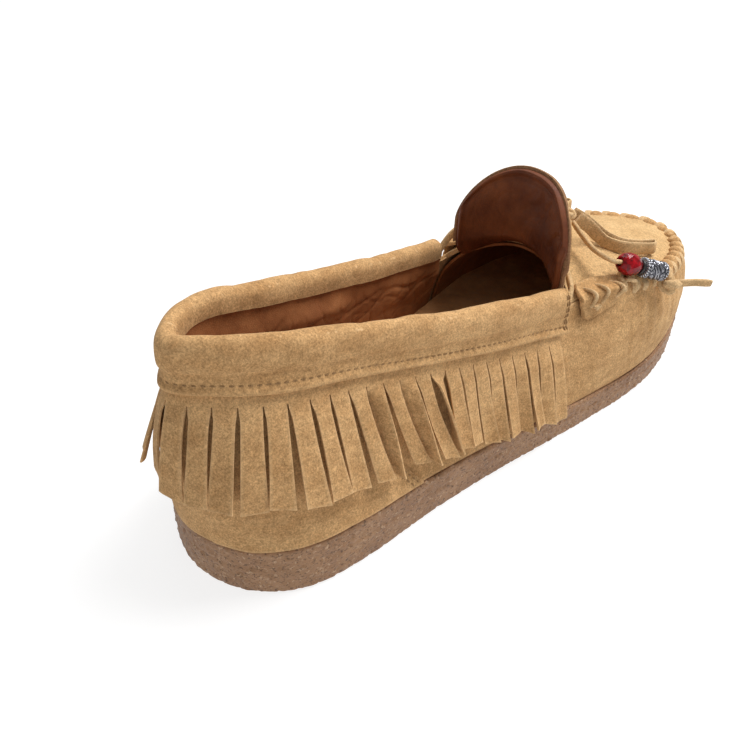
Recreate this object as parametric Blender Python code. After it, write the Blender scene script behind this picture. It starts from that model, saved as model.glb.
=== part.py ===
"""Fringed suede moccasin, left shoe: part model for Blender 4.5.

Sizes are in millimetres and are turned into metres where a mesh is made. +Y points at the toe,
+X is the medial side of the foot and +Z is up. The origin is on the ground under the heel's centre.
"""
import math

import bpy
import bmesh
import numpy as np
from mathutils import Vector

MM = 0.001

# --- Driving form --------------------------------------------------------------------------------
# One row per station, from the heel's back round the medial side to the toe and back along the
# lateral side: sole edge (x, y), top edge of the upper (x, y, z), how late the wall leans in to
# that top edge, and how far it bulges.
STATIONS = [
    (0.0, -34.0, -1.0, -29.2, 75.0, 1.00, 2.2),
    (18.0, -28.6, 8.9, -19.3, 75.0, 1.00, 2.0),
    (30.0, -14.5, 14.7, -6.4, 73.1, 0.95, 1.2),
    (33.8, 6.0, 17.9, 10.0, 69.7, 0.85, 0.4),
    (34.1, 36.0, 21.9, 36.3, 63.2, 0.80, 0.0),
    (35.7, 64.0, 25.0, 64.1, 56.5, 0.80, 0.0),
    (38.2, 88.0, 27.1, 90.0, 51.2, 0.95, 0.3),
    (40.0, 104.5, 28.3, 104.5, 48.5, 1.20, 0.8),
    (41.2, 119.0, 31.0, 119.0, 49.6, 1.90, 1.2),
    (42.6, 140.0, 36.2, 139.0, 47.6, 2.60, 1.4),
    (41.6, 159.0, 37.2, 158.0, 45.4, 2.80, 1.2),
    (36.8, 178.0, 32.5, 177.0, 43.2, 2.60, 1.2),
    (26.0, 200.0, 22.0, 193.5, 41.6, 2.20, 1.4),
    (6.5, 216.0, 6.5, 201.5, 41.0, 2.20, 1.4),
    (-13.5, 206.5, -9.5, 193.5, 41.6, 2.20, 1.4),
    (-31.0, 186.0, -20.0, 177.0, 43.2, 2.40, 1.4),
    (-41.0, 160.0, -25.0, 158.0, 45.4, 2.60, 1.4),
    (-44.0, 137.0, -26.5, 138.0, 47.0, 2.40, 1.4),
    (-42.3, 118.0, -29.0, 118.0, 46.6, 1.70, 1.2),
    (-39.6, 104.5, -30.6, 104.5, 43.7, 1.20, 0.8),
    (-36.6, 88.0, -28.3, 90.0, 46.5, 0.95, 0.3),
    (-33.8, 64.0, -24.9, 64.1, 52.3, 0.80, 0.0),
    (-33.2, 36.0, -20.9, 36.3, 59.6, 0.80, 0.0),
    (-33.8, 6.0, -17.4, 10.0, 67.0, 0.85, 0.4),
    (-30.0, -14.5, -15.2, -6.8, 72.0, 0.95, 1.2),
    (-18.0, -28.6, -10.9, -19.9, 74.6, 1.00, 2.0),
]
LAST = len(STATIONS)
TOE = 13.0
MEDIAL_END, LATERAL_END = 6.9, 19.1          # stations where the padded collar stops

# --- Sole ----------------------------------------------------------------------------------------
SOLE_HEIGHTS = ((-34.0, 18.2), (6.0, 18.2), (76.0, 13.1), (126.0, 11.1), (230.0, 11.1))
TOE_SPRING, SPRING_START, TOE_Y = 6.5, 126.0, 216.0
# Fraction of the sole's height, and how far the side wall stands inside the sole's edge there.
SOLE_PROFILE = ((0.0, 0.8), (0.06, 0.15), (0.35, 0.0), (0.65, 0.0), (0.92, 0.1), (1.0, 0.7))

# --- Leather and other layers --------------------------------------------------------------------
GAP = 0.3
CURVED_GAP = 0.5           # between layers that bend round the heel
FEATHER_INSET = 1.0        # the upper's foot stands this far inside the sole's edge
UPPER = 1.5
MARGIN_WIDTH = 11.0        # the upper's turned-in margin, glued under the insole board
LINING = 1.0
COUNTER = 1.8
PATCH = 1.2
BOARD, FOAM, SOCK = 2.0, 4.0, 1.2
INSOLE_CLEARANCE = 0.7
VAMP_DEPTH = 2.2           # the toe lining lies this deep behind the upper's face
PATCH_TOP_DROP = 12.0      # the heel patch ends this far under the collar band

# --- Collar roll: (outward, up) measured from the top centre line of the roll ----------------------
COLLAR_RISE = 8.8          # the roll's top stands this far over the upper's top edge
COLLAR_SHIFT = 0.2         # and this far inside its outer face
BAND = 1.3
BAND_GAP = 0.6
BAND_EDGE = 15.6           # the band's lower edge is this far under the roll's top
BAND_LOW_ROWS = (-BAND_EDGE, -10.4)          # here the band lies over the fringe's held edge
BAND_OUTSIDE = [(4.4, -8.5), (4.4, -5.0), (3.9, -2.3), (2.6, -0.6), (0.8, 0.0),
                (-1.2, -0.7), (-2.4, -2.3), (-2.8, -4.6), (-2.8, -7.0)]
BAND_INSIDE = [(-1.5, -7.0), (-1.5, -4.6), (-1.2, -3.0), (-0.4, -1.9), (0.8, -1.3), (2.0, -1.8),
               (2.7, -3.1), (3.1, -5.0), (3.1, -8.5)]
PADDING = [(2.8, -5.8), (2.8, -5.0), (2.4, -3.4), (1.8, -2.2), (0.8, -1.7), (-0.2, -2.3),
           (-0.9, -3.3), (-1.2, -4.6), (-1.2, -5.8)]
TUNNEL_OUT, TUNNEL_DROP = 0.8, -7.5          # the lace runs in the tunnel under the padding

# --- Fringe --------------------------------------------------------------------------------------
FRINGE_STRANDS = 46
FRINGE_THICKNESS = 1.0
FRINGE_STAND = 0.3         # its held edge stands this far off the upper
FRINGE_HANG = (5.0, 2.6)   # its free ends stand off the upper: at the heel, at the sides
FRINGE_TUCK = 5.0          # held under the collar band
FRINGE_HEADER = 5.0
FRINGE_LENGTH = 31.6
SLIT = 0.9
FRINGE_START, FRINGE_END = 19.4, 6.6

# --- Plug and tongue -----------------------------------------------------------------------------
PLUG_BACK_MEDIAL, PLUG_BACK_LATERAL = 7.25, 18.75
PLUG_DOME = 12.5
PLUG_EDGE = 2.0            # the plug stops this far inside the moc seam
THROAT_BULGE = 9.0         # the throat line is bowed towards the toe by this much
TONGUE_X, TONGUE_Y, TONGUE_HALF = 0.5, 115.6, 25.5
TONGUE_BOW = 10.0
TONGUE_FOOT_MID, TONGUE_FOOT_SIDE = 61.0, 53.5
TONGUE_SIDE_TOP, TONGUE_RISE = 62.0, 25.3
TONGUE_AXIS = (0.0, 115.0, 62.5)

# --- Ears: small flaps that fold from the plug over the moc seam and down the wall ----------------
EAR_REACH = (7.42, 8.62)   # stations of the medial ear; the lateral one mirrors them
EAR_ON_PLUG = (4.4, 2.4)   # rows of the part that lies on the plug, measured in from the seam
EAR_DROP = 0.175           # the most of the wall's height that it hangs down
EAR_THICKNESS = 1.2
EAR_MITRE = 0.75           # how far the fold's corner stands out, as a share of the offset
# How far down the ear hangs, as a share of EAR_DROP, from its heel end to its pointed toe end.
EAR_OUTLINE = ((0.0, 0.72), (0.08, 0.95), (0.2, 1.0), (0.45, 0.94), (0.7, 0.7), (1.0, 0.16))

# --- Lacing --------------------------------------------------------------------------------------
SEAM_LACE_RADIUS = 0.7
SEAM_LACE_ENDS = (8.72, 17.28)
COLLAR_LACE_RADIUS = 0.9
TAIL_RADIUS = 1.1
KNOT_CENTRE = (5.0, 129.0, 67.4)
KNOT_RADII = (5.0, 3.6, 3.4)
LOOP_WIDTH, LOOP_THICKNESS = 3.6, 1.3
BEAD_BORE_GAP = 0.45
# Half the length and the radius of each bead.
GLASS, RING, SILVER = (4.6, 4.0), (0.5, 2.7), (5.35, 3.5)
STOPPER_RADII = (3.2, 3.0, 3.4)


# === Small tools =================================================================================
def unit(vector):
    """The vector at length one."""
    return vector / np.linalg.norm(vector)


def clear_scene():
    """Remove every object, so that the script also runs from Blender's text editor."""
    for scene_object in list(bpy.data.objects):
        bpy.data.objects.remove(scene_object)


def catmull_rom(table, where):
    """A smooth closed curve through the table's rows, read at a fractional row number."""
    rows = np.asarray(table, float)
    first = math.floor(where)
    t = where - first
    p0, p1, p2, p3 = (rows[(first + k) % len(rows)] for k in (-1, 0, 1, 2))
    return 0.5 * (2 * p1 + (p2 - p0) * t + (2 * p0 - 5 * p1 + 4 * p2 - p3) * t ** 2
                  + (3 * p1 - p0 - 3 * p2 + p3) * t ** 3)


def smooth_route(points, count):
    """Evenly spaced points on a smooth open curve through a route's own points."""
    points = [np.asarray(p, float) for p in points]
    ends = [2 * points[0] - points[1]] + points + [2 * points[-1] - points[-2]]
    dense = []
    for p0, p1, p2, p3 in zip(ends, ends[1:], ends[2:], ends[3:]):
        for t in np.linspace(0, 1, 24, endpoint=False):
            dense.append(0.5 * (2 * p1 + (p2 - p0) * t + (2 * p0 - 5 * p1 + 4 * p2 - p3) * t ** 2
                                + (3 * p1 - p0 - 3 * p2 + p3) * t ** 3))
    dense.append(points[-1])
    dense = np.array(dense)
    steps = np.r_[0, np.cumsum(np.linalg.norm(np.diff(dense, axis=0), axis=1))]
    wanted = np.linspace(0, steps[-1], count)
    return np.column_stack([np.interp(wanted, steps, dense[:, axis]) for axis in range(3)])


def material(name, colour, roughness, metallic=0.0):
    """A Principled material of one finish."""
    made = bpy.data.materials.new(name)
    made.use_nodes = True
    shader = made.node_tree.nodes["Principled BSDF"]
    shader.inputs["Base Color"].default_value = (*colour, 1.0)
    shader.inputs["Roughness"].default_value = roughness
    shader.inputs["Metallic"].default_value = metallic
    return made


def add_object(name, points, faces, finish, origin=(0, 0, 0), parent=None):
    """Make one named object from points in millimetres, with its origin where it turns."""
    mesh = bpy.data.meshes.new(name)
    start = np.asarray(origin, float)
    mesh.from_pydata([tuple((np.asarray(p) - start) * MM) for p in points], [], faces)
    work = bmesh.new()
    work.from_mesh(mesh)
    bmesh.ops.recalc_face_normals(work, faces=work.faces)
    work.to_mesh(mesh)
    work.free()
    mesh.materials.append(finish)
    mesh.shade_smooth()
    mesh.set_sharp_from_angle(angle=math.radians(40))
    made = bpy.data.objects.new(name, mesh)
    made.location = start * MM
    bpy.context.collection.objects.link(made)
    if parent is not None:
        made.parent = parent
        made.location = (start - np.asarray(parent.location) / MM) * MM
    return made


def hinge_empty(name, position):
    """An empty that marks a joint's axis."""
    empty = bpy.data.objects.new(name, None)
    empty.location = np.asarray(position, float) * MM
    bpy.context.collection.objects.link(empty)
    return empty


def loft(name, sections, finish, closed_path=False, ladder_caps=False, **placing):
    """Join equal closed sections one after another; the ends close with a face or with rungs."""
    count = len(sections[0])
    points = [p for section in sections for p in section]
    faces = []
    joins = len(sections) if closed_path else len(sections) - 1
    for i in range(joins):
        this, after = i * count, ((i + 1) % len(sections)) * count
        for k in range(count):
            n = (k + 1) % count
            faces.append((this + k, this + n, after + n, after + k))
    if not closed_path:
        for base in (0, (len(sections) - 1) * count):
            faces.extend(rungs(base, count) if ladder_caps else [tuple(range(base, base + count))])
    return add_object(name, points, faces, finish, **placing)


def rungs(base, count):
    """Faces across a closed outline, from each point to the one opposite it."""
    half = count // 2
    faces = [(base, base + 1, base + count - 1), (base + half - 1, base + half, base + half + 1)]
    for k in range(1, half - 1):
        faces.append((base + k, base + k + 1, base + count - k - 1, base + count - k))
    return faces


def sheet(name, outside, inside, finish, **placing):
    """A sheet with thickness between two equal grids of points."""
    rows, columns = len(outside), len(outside[0])
    points = [p for row in outside for p in row] + [p for row in inside for p in row]
    shift = rows * columns
    faces = []
    for i in range(rows - 1):
        for k in range(columns - 1):
            a = i * columns + k
            quad = (a, a + 1, a + columns + 1, a + columns)
            faces.append(quad)
            faces.append(tuple(shift + q for q in reversed(quad)))
    edge = list(range(columns))
    edge += [i * columns + columns - 1 for i in range(1, rows)]
    edge += [(rows - 1) * columns + k for k in range(columns - 2, -1, -1)]
    edge += [i * columns for i in range(rows - 2, 0, -1)]
    for a, b in zip(edge, edge[1:] + edge[:1]):
        faces.append((b, a, a + shift, b + shift))
    return add_object(name, points, faces, finish, **placing)


def tube(name, route, radius, finish):
    """A round cord along a list of points, as a curve with filled ends."""
    curve = bpy.data.curves.new(name, "CURVE")
    curve.dimensions = "3D"
    curve.bevel_depth = radius * MM
    curve.bevel_resolution = 2
    curve.use_fill_caps = True
    spline = curve.splines.new("POLY")
    spline.points.add(len(route) - 1)
    for point, place in zip(spline.points, route):
        point.co = (*(place * MM), 1.0)
    curve.materials.append(finish)
    made = bpy.data.objects.new(name, curve)
    bpy.context.collection.objects.link(made)
    return made


# === The shoe's form =============================================================================
def sole_edge(u):
    """The sole's edge in plan at station u."""
    return catmull_rom(STATIONS, u)[:2]


def outward(u):
    """The horizontal direction that points out of the shoe at station u."""
    along = sole_edge(u + 0.05) - sole_edge(u - 0.05)
    return unit(np.array([along[1], -along[0], 0.0]))


def spring(y):
    """How far the toe end of the sole curls up off the ground."""
    return TOE_SPRING * max(0.0, (y - SPRING_START) / (TOE_Y - SPRING_START)) ** 2


def sole_height(y):
    """The sole's thickness along the shoe."""
    return float(np.interp(y, [p[0] for p in SOLE_HEIGHTS], [p[1] for p in SOLE_HEIGHTS]))


def sole_top(y):
    """The height of the sole's top face."""
    return sole_height(y) + spring(y)


def wall(u, v, offset=0.0):
    """A point on the upper's outer face: v runs from 0 at the sole to 1 at the top edge."""
    if offset:
        return wall(u, v) + offset * wall_normal(u, v)
    row = catmull_rom(STATIONS, u)
    n = outward(u)
    foot = np.array([row[0], row[1], 0.0]) - FEATHER_INSET * n
    top = row[2:5]
    foot[2] = sole_top(foot[1]) + GAP
    rise = v ** row[5] if v > 0 else 0.0
    place = foot + (top - foot) * rise + n * row[6] * math.sin(math.pi * min(v, 1.0))
    place[2] = foot[2] + (top[2] - foot[2]) * v
    return place


def wall_normal(u, v):
    """The upper's outward direction."""
    low, high = max(v - 0.06, 0.0), min(v + 0.06, 1.0)
    along = wall(u + 0.08, v) - wall(u - 0.08, v)
    up = wall(u, high) - wall(u, low)
    return unit(np.cross(along, up))


def v_at_height(u, z):
    """The wall parameter at a height."""
    low, high = wall(u, 0.0)[2], wall(u, 1.0)[2]
    return (z - low) / (high - low)


def collar_line(u):
    """The top centre line of the padded collar."""
    return wall(u, 1.0) - outward(u) * COLLAR_SHIFT + np.array([0, 0, COLLAR_RISE])


def collar_section(u, profile):
    """A collar profile placed at station u."""
    centre, n = collar_line(u), outward(u)
    return [centre + n * out + np.array([0, 0, up]) for out, up in profile]


def band_section(u):
    """The collar band's section: its outer leg ends over the fringe, which lies on the upper."""
    centre, n = collar_line(u), outward(u)
    legs = []
    for up in BAND_LOW_ROWS:
        face = wall(u, v_at_height(u, centre[2] + up))
        legs.append(np.dot(face - centre, n) + FRINGE_STAND + FRINGE_THICKNESS + BAND_GAP)
    low_outside = [(out + BAND, up) for out, up in zip(legs, BAND_LOW_ROWS)]
    low_inside = list(zip(legs, BAND_LOW_ROWS))[::-1]
    return collar_section(u, low_outside + BAND_OUTSIDE + BAND_INSIDE + low_inside)


def station_range(first, last):
    """Stations from first round the heel to last: both ends, and every half station between."""
    last += LAST
    inner = np.arange(math.ceil(2 * first + 0.2), math.floor(2 * last - 0.2) + 1) / 2
    return np.r_[first, inner, last]


def plug_point(a, b, offset=0.0):
    """A point of the plug: a runs from the throat to the toe, b from lateral to medial."""
    if offset:
        return plug_point(a, b) + offset * plug_normal(a, b)
    medial_u = PLUG_BACK_MEDIAL + (TOE - PLUG_BACK_MEDIAL) * a
    lateral_u = PLUG_BACK_LATERAL + (TOE - PLUG_BACK_LATERAL) * a
    medial, lateral = wall(medial_u, 1.0), wall(lateral_u, 1.0)
    q = 2 * b - 1
    place = lateral + (medial - lateral) * b
    crown = 1 - q * q
    place[1] += THROAT_BULGE * crown * (1 - a) ** 2
    place[2] += PLUG_DOME * crown * (1 - a) ** 1.15
    return place


def plug_normal(a, b):
    """The plug's upward direction."""
    along = plug_point(min(a + 0.04, 0.97), b) - plug_point(max(a - 0.04, 0.0), b)
    across = plug_point(a, min(b + 0.05, 1.0)) - plug_point(a, max(b - 0.05, 0.0))
    return unit(np.cross(across, along))


def tongue_point(q, r, offset):
    """A point of the tongue: q runs across from -1 to 1, r from its foot to its rounded top."""
    x = TONGUE_X + TONGUE_HALF * q
    y = TONGUE_Y - TONGUE_BOW * q * q
    slope = unit(np.array([2 * TONGUE_BOW * q / TONGUE_HALF, 1.0, 0.0]))
    foot = TONGUE_FOOT_MID + (TONGUE_FOOT_SIDE - TONGUE_FOOT_MID) * q * q
    top = TONGUE_SIDE_TOP + TONGUE_RISE * max(0.0, 1 - abs(q) ** 2.7) ** 0.55
    return np.array([x, y, foot + (top - foot) * r]) + slope * offset


# === Sole and insole parts =======================================================================
def flat_loop(inset, height_of):
    """A closed loop round the shoe, inset from the sole's edge, at a height that depends on y."""
    loop = []
    for u in np.linspace(0, LAST, 2 * LAST, endpoint=False):
        place = np.append(sole_edge(u), 0.0) - outward(u) * inset
        place[2] = height_of(place[1])
        loop.append(place)
    return loop


def make_outsole(finish):
    """The moulded crepe sole, with a flat tread and a raised toe."""
    loops = []
    for fraction, inset in SOLE_PROFILE:
        loops.append(flat_loop(inset, lambda y: fraction * sole_height(y) + spring(y)))
    loft("outsole", loops, finish, ladder_caps=True)


def insole_layer(name, low, high, finish):
    """A flat layer inside the lining, between two heights over the sole's top."""
    loops = []
    for level in (low, high):
        loop = []
        for u in np.linspace(0, LAST, 2 * LAST, endpoint=False):
            z = sole_top(sole_edge(u)[1]) + level
            depth = lining_depth(u) + LINING + INSOLE_CLEARANCE
            place = wall(u, v_at_height(u, z)) - outward(u) * depth
            place[2] = sole_top(place[1]) + level
            loop.append(place)
        loops.append(loop)
    loft(name, loops, finish, ladder_caps=True)


# === Upper =======================================================================================
WALL_ROWS = (0.0, 0.16, 0.36, 0.58, 0.8, 1.0)


def make_upper(finish):
    """The wrap: the wall all round the foot, with a margin turned in under the insole."""
    sections = []
    for u in np.linspace(0, LAST, 2 * LAST, endpoint=False):
        n = outward(u)
        foot = wall(u, 0.0)
        outer = [wall(u, v) for v in WALL_ROWS]
        inner = [wall(u, v, -UPPER) for v in reversed(WALL_ROWS[1:])]
        corner = foot - n * UPPER + np.array([0, 0, UPPER])
        margin_top = foot - n * MARGIN_WIDTH
        margin_top[2] = sole_top(margin_top[1]) + GAP + UPPER
        margin_low = margin_top - np.array([0, 0, UPPER])
        sections.append(outer + inner + [corner, margin_top, margin_low])
    loft("upper_wrap", sections, finish, closed_path=True)


def make_wall_layer(name, reach, heights, near, thick, finish):
    """A layer that follows the wall round the heel, near and thick measured outward."""
    sections = []
    for u in station_range(LAST - reach, reach):
        rows = np.linspace(*heights(u), 6)
        outer = [wall(u, v, near + thick) for v in rows]
        inner = [wall(u, v, near) for v in rows[::-1]]
        sections.append(outer + inner)
    loft(name, sections, finish)


def make_heel_patch(finish):
    """The outer patch sewn over the heel; the fringe hides its top edge."""
    def heights(u):
        return 0.012, v_at_height(u, collar_line(u)[2] - BAND_EDGE - PATCH_TOP_DROP)
    make_wall_layer("heel_patch", 3.8, heights, CURVED_GAP, PATCH, finish)


def make_heel_counter(finish):
    """The stiff cup between the upper and the lining."""
    def heights(_):
        return 0.08, 0.62
    make_wall_layer("heel_counter", 3.5, heights, -UPPER - CURVED_GAP - COUNTER, COUNTER, finish)


def lining_depth(u):
    """How deep the lining lies behind the upper's face: deeper over the heel counter."""
    from_heel = min(u % LAST, LAST - u % LAST)
    return float(np.interp(from_heel, (3.8, 4.6), (UPPER + COUNTER + 2 * CURVED_GAP, VAMP_DEPTH)))


def make_quarter_lining(finish):
    """The leather lining of the heel and sides, from the insole up to inside the collar."""
    sections = []
    for u in station_range(LATERAL_END, MEDIAL_END):
        rows = np.linspace(0.06, 0.99, 6)
        outer = [wall(u, v, -lining_depth(u)) for v in rows]
        inner = [wall(u, v, -lining_depth(u) - LINING) for v in rows[::-1]]
        for place in (outer[0], inner[-1]):
            place[2] = sole_top(place[1]) + GAP + UPPER + GAP
        sections.append(outer + inner)
    loft("quarter_lining", sections, finish)


def vamp_row(a, depth):
    """One arch of the vamp lining, from the lateral side over the foot to the medial side."""
    medial_u = PLUG_BACK_MEDIAL + (TOE - PLUG_BACK_MEDIAL) * a
    lateral_u = PLUG_BACK_LATERAL + (TOE - PLUG_BACK_LATERAL) * a
    rows = (0.1, 0.36, 0.66, 0.88)
    arch = [wall(lateral_u, v, -depth) for v in rows]
    arch += [plug_point(a, b, -depth) for b in (0.12, 0.3, 0.5, 0.7, 0.88)]
    arch += [wall(medial_u, v, -depth) for v in reversed(rows)]
    return arch


def make_vamp_lining(finish):
    """The lining of the toe: one arched sheet inside the wall and the plug."""
    steps = np.linspace(0.03, 0.93, 13)
    outside = [vamp_row(a, VAMP_DEPTH) for a in steps]
    inside = [vamp_row(a, VAMP_DEPTH + LINING) for a in steps]
    sheet("vamp_lining", outside, inside, finish)


def make_plug(finish):
    """The raised top panel inside the moc seam."""
    outside, inside = [], []
    for a in np.linspace(0.0, 0.93, 14):
        width = np.linalg.norm(plug_point(a, 1.0) - plug_point(a, 0.0))
        across = np.linspace(PLUG_EDGE / width, 1 - PLUG_EDGE / width, 11)
        outside.append([plug_point(a, b) for b in across])
        inside.append([plug_point(a, b, -UPPER) for b in across])
    sheet("plug", outside, inside, finish)


def ear_row(side, t, offset):
    """One row of the ear, from the plug over the seam and down the wall; t runs heel to toe."""
    medial_u = EAR_REACH[0] + (EAR_REACH[1] - EAR_REACH[0]) * t
    u = medial_u if side == "medial" else LAST - medial_u
    a = (medial_u - PLUG_BACK_MEDIAL) / (TOE - PLUG_BACK_MEDIAL)
    width = np.linalg.norm(plug_point(a, 1.0) - plug_point(a, 0.0))
    across = [reach / width for reach in EAR_ON_PLUG]
    if side == "medial":
        across = [1 - b for b in across]
    on_plug = [plug_point(a, b, offset) for b in across]
    over_seam = wall(u, 1.0, offset) + (on_plug[-1] - plug_point(a, across[-1])) * EAR_MITRE
    drop = EAR_DROP * float(np.interp(t, *zip(*EAR_OUTLINE)))
    on_wall = [wall(u, 1 - drop * share, offset) for share in (0.3, 0.55, 0.8, 1.0)]
    return on_plug + [over_seam] + on_wall


def make_ear(side, finish):
    """One ear, which folds over the moc seam beside the throat."""
    steps = np.linspace(0, 1, 13)
    outside = [ear_row(side, t, GAP + EAR_THICKNESS) for t in steps]
    inside = [ear_row(side, t, GAP) for t in steps]
    sheet(side + "_ear", outside, inside, finish)


def make_tongue(pivot, suede, leather):
    """The tongue and its leather lining, which fold about the throat."""
    for name, front, back, margin, finish in (("tongue", 0.0, -UPPER, 0.0, suede),
                                              ("tongue_lining", -UPPER - GAP,
                                               -UPPER - GAP - LINING, 0.03, leather)):
        across = np.linspace(-1 + margin, 1 - margin, 13)
        rows = np.linspace(0, 1 - margin, 5)
        outside = [[tongue_point(q, r, front) for q in across] for r in rows]
        inside = [[tongue_point(q, r, back) for q in across] for r in rows]
        sheet(name, outside, inside, finish, origin=TONGUE_AXIS, parent=pivot)


# === Collar ======================================================================================
def make_collar(suede, foam):
    """The padded roll round the opening: its suede band and the padding inside."""
    stations = station_range(LATERAL_END, MEDIAL_END)
    loft("collar_band", [band_section(u) for u in stations], suede)
    inside = station_range(LATERAL_END + 0.1, MEDIAL_END - 0.1)
    loft("collar_padding", [collar_section(u, PADDING) for u in inside], foam)


def fringe_point(u, drop, face):
    """A point of the fringe: drop is measured down from the collar band's lower edge."""
    z = collar_line(u)[2] - BAND_EDGE - drop
    v = max(v_at_height(u, z), 0.0)
    from_heel = min(u % LAST, LAST - u % LAST)
    hang = float(np.interp(from_heel, (2.5, 5.0), FRINGE_HANG))
    stand_off = float(np.interp(drop, (0.0, 10.0, FRINGE_LENGTH), (FRINGE_STAND, 2.2, hang)))
    place = wall(u, min(v, 1.0)) + outward(u) * (stand_off + face)
    place[2] = z
    return place


def fringe_stations():
    """Stations of the strands' edges, evenly spaced along the collar's lower edge."""
    fine = np.linspace(FRINGE_START, FRINGE_END + LAST, 400)
    places = np.array([fringe_point(u, 0.0, 0.0) for u in fine])
    steps = np.r_[0, np.cumsum(np.linalg.norm(np.diff(places, axis=0), axis=1))]
    pitch = (steps[-1] + SLIT) / FRINGE_STRANDS
    edges = []
    for k in range(FRINGE_STRANDS):
        edges.append(np.interp(k * pitch, steps, fine))
        edges.append(np.interp((k + 1) * pitch - SLIT, steps, fine))
    return edges


def make_fringe(finish):
    """One strip with its free edge cut into strands, held under the collar band."""
    edges = fringe_stations()
    drops = [-FRINGE_TUCK, 0.0, FRINGE_HEADER, 10.0, 21.0, FRINGE_LENGTH]
    header_rows = 2
    rows, columns = len(drops), len(edges)
    points = []
    for face in (FRINGE_THICKNESS, 0.0):
        for drop in drops:
            points += [fringe_point(u, drop, face) for u in edges]
    shift = rows * columns
    cells = [(i, k) for i in range(rows - 1) for k in range(columns - 1)
             if i < header_rows or k % 2 == 0]
    faces = []
    for i, k in cells:
        corner = i * columns + k
        quad = (corner, corner + 1, corner + columns + 1, corner + columns)
        faces.append(quad)
        faces.append(tuple(shift + q for q in reversed(quad)))
        beside = ((i - 1, k, quad[0], quad[1]), (i, k + 1, quad[1], quad[2]),
                  (i + 1, k, quad[2], quad[3]), (i, k - 1, quad[3], quad[0]))
        for row, column, a, b in beside:
            if (row, column) not in cells:
                faces.append((b, a, a + shift, b + shift))
    add_object("fringe", points, faces, finish)


# === Lacing ======================================================================================
def seam_lace_route():
    """The lacing over the moc seam, from ear to ear round the toe."""
    route = []
    for u in np.linspace(*SEAM_LACE_ENDS, 42):
        route.append(wall(u, 1.0) + np.array([0, 0, GAP + SEAM_LACE_RADIUS]))
    return np.array(route)


def collar_lace_route():
    """The lace in the collar's tunnel, with both ends brought up over the plug to the knot."""
    inside = [collar_line(u) + TUNNEL_OUT * outward(u) + np.array([0, 0, TUNNEL_DROP])
              for u in station_range(LATERAL_END, MEDIAL_END)]
    lateral = [(-3.5, 124.5, 66.8), (-13.0, 121.0, 64.6), (-22.0, 116.0, 60.5),
               (-28.5, 109.5, 54.0)]
    medial = [(27.6, 108.0, 53.0), (24.2, 110.8, 55.8), (20.0, 113.6, 58.4),
              (14.0, 117.4, 61.9), (10.8, 121.0, 64.6), (11.2, 124.6, 66.8)]
    return smooth_route(lateral + inside + medial, 56)


def make_ellipsoid(name, centre, radii, finish):
    """A rounded knot body."""
    mesh = bpy.data.meshes.new(name)
    work = bmesh.new()
    bmesh.ops.create_uvsphere(work, u_segments=14, v_segments=8, radius=1.0)
    bmesh.ops.scale(work, vec=Vector(radii) * MM, verts=work.verts)
    work.to_mesh(mesh)
    work.free()
    mesh.materials.append(finish)
    mesh.shade_smooth()
    made = bpy.data.objects.new(name, mesh)
    made.location = Vector(centre) * MM
    bpy.context.collection.objects.link(made)
    return made


def make_ringed(name, centre, axis, profile, finish, parent, segments=14):
    """A body turned about the lace, with a hole for it: profile is (along, radius), closed."""
    axis = unit(np.asarray(axis, float))
    side = unit(np.cross(axis, (0, 0, 1)))
    up = np.cross(side, axis)
    sections = []
    for k in range(segments):
        angle = 2 * math.pi * k / segments
        spoke = side * math.cos(angle) + up * math.sin(angle)
        sections.append([centre + axis * along + spoke * radius for along, radius in profile])
    return loft(name, sections, finish, closed_path=True, origin=centre, parent=parent)


def make_loop(name, route, finish):
    """A flat lace bent into a bow loop, standing on its edge."""
    sections = []
    for k, place in enumerate(route):
        along = unit(route[min(k + 1, len(route) - 1)] - route[max(k - 1, 0)])
        up = unit(np.array([0, 0, 1.0]) - along * along[2])
        side = np.cross(along, up)
        half_up, half_side = up * LOOP_WIDTH / 2, side * LOOP_THICKNESS / 2
        sections.append([place - half_up - half_side, place - half_up + half_side,
                         place + half_up + half_side, place + half_up - half_side])
    loft(name, sections, finish)


# Each tail: its route from the bow knot, the start and direction of its straight bead stretch,
# its stopper knot's centre and the route of its cut end.
BEAD_START = 4.2
BEAD_STRETCH = 26.5
TAILS = {
    "medial": {"from_knot": [(10.6, 129.2, 66.2), (17.0, 127.0, 63.8), (23.6, 125.0, 61.9)],
               "start": (30.0, 126.0, 60.2), "along": (0.376, 0.858, -0.347),
               "stopper": (42.2, 150.6, 46.6),
               "end": [(44.6, 153.8, 46.4), (48.0, 159.4, 46.0), (51.5, 165.0, 45.0)]},
    "lateral": {"from_knot": [(-0.6, 129.2, 66.2), (-7.0, 127.8, 64.4), (-13.0, 126.8, 62.6)],
                "start": (-18.0, 128.6, 60.8), "along": (-0.300, 0.890, -0.343),
                "stopper": (-29.6, 154.2, 47.8),
                "end": [(-32.4, 157.6, 47.2), (-36.0, 163.0, 46.4), (-39.5, 168.4, 45.2)]},
}
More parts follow.
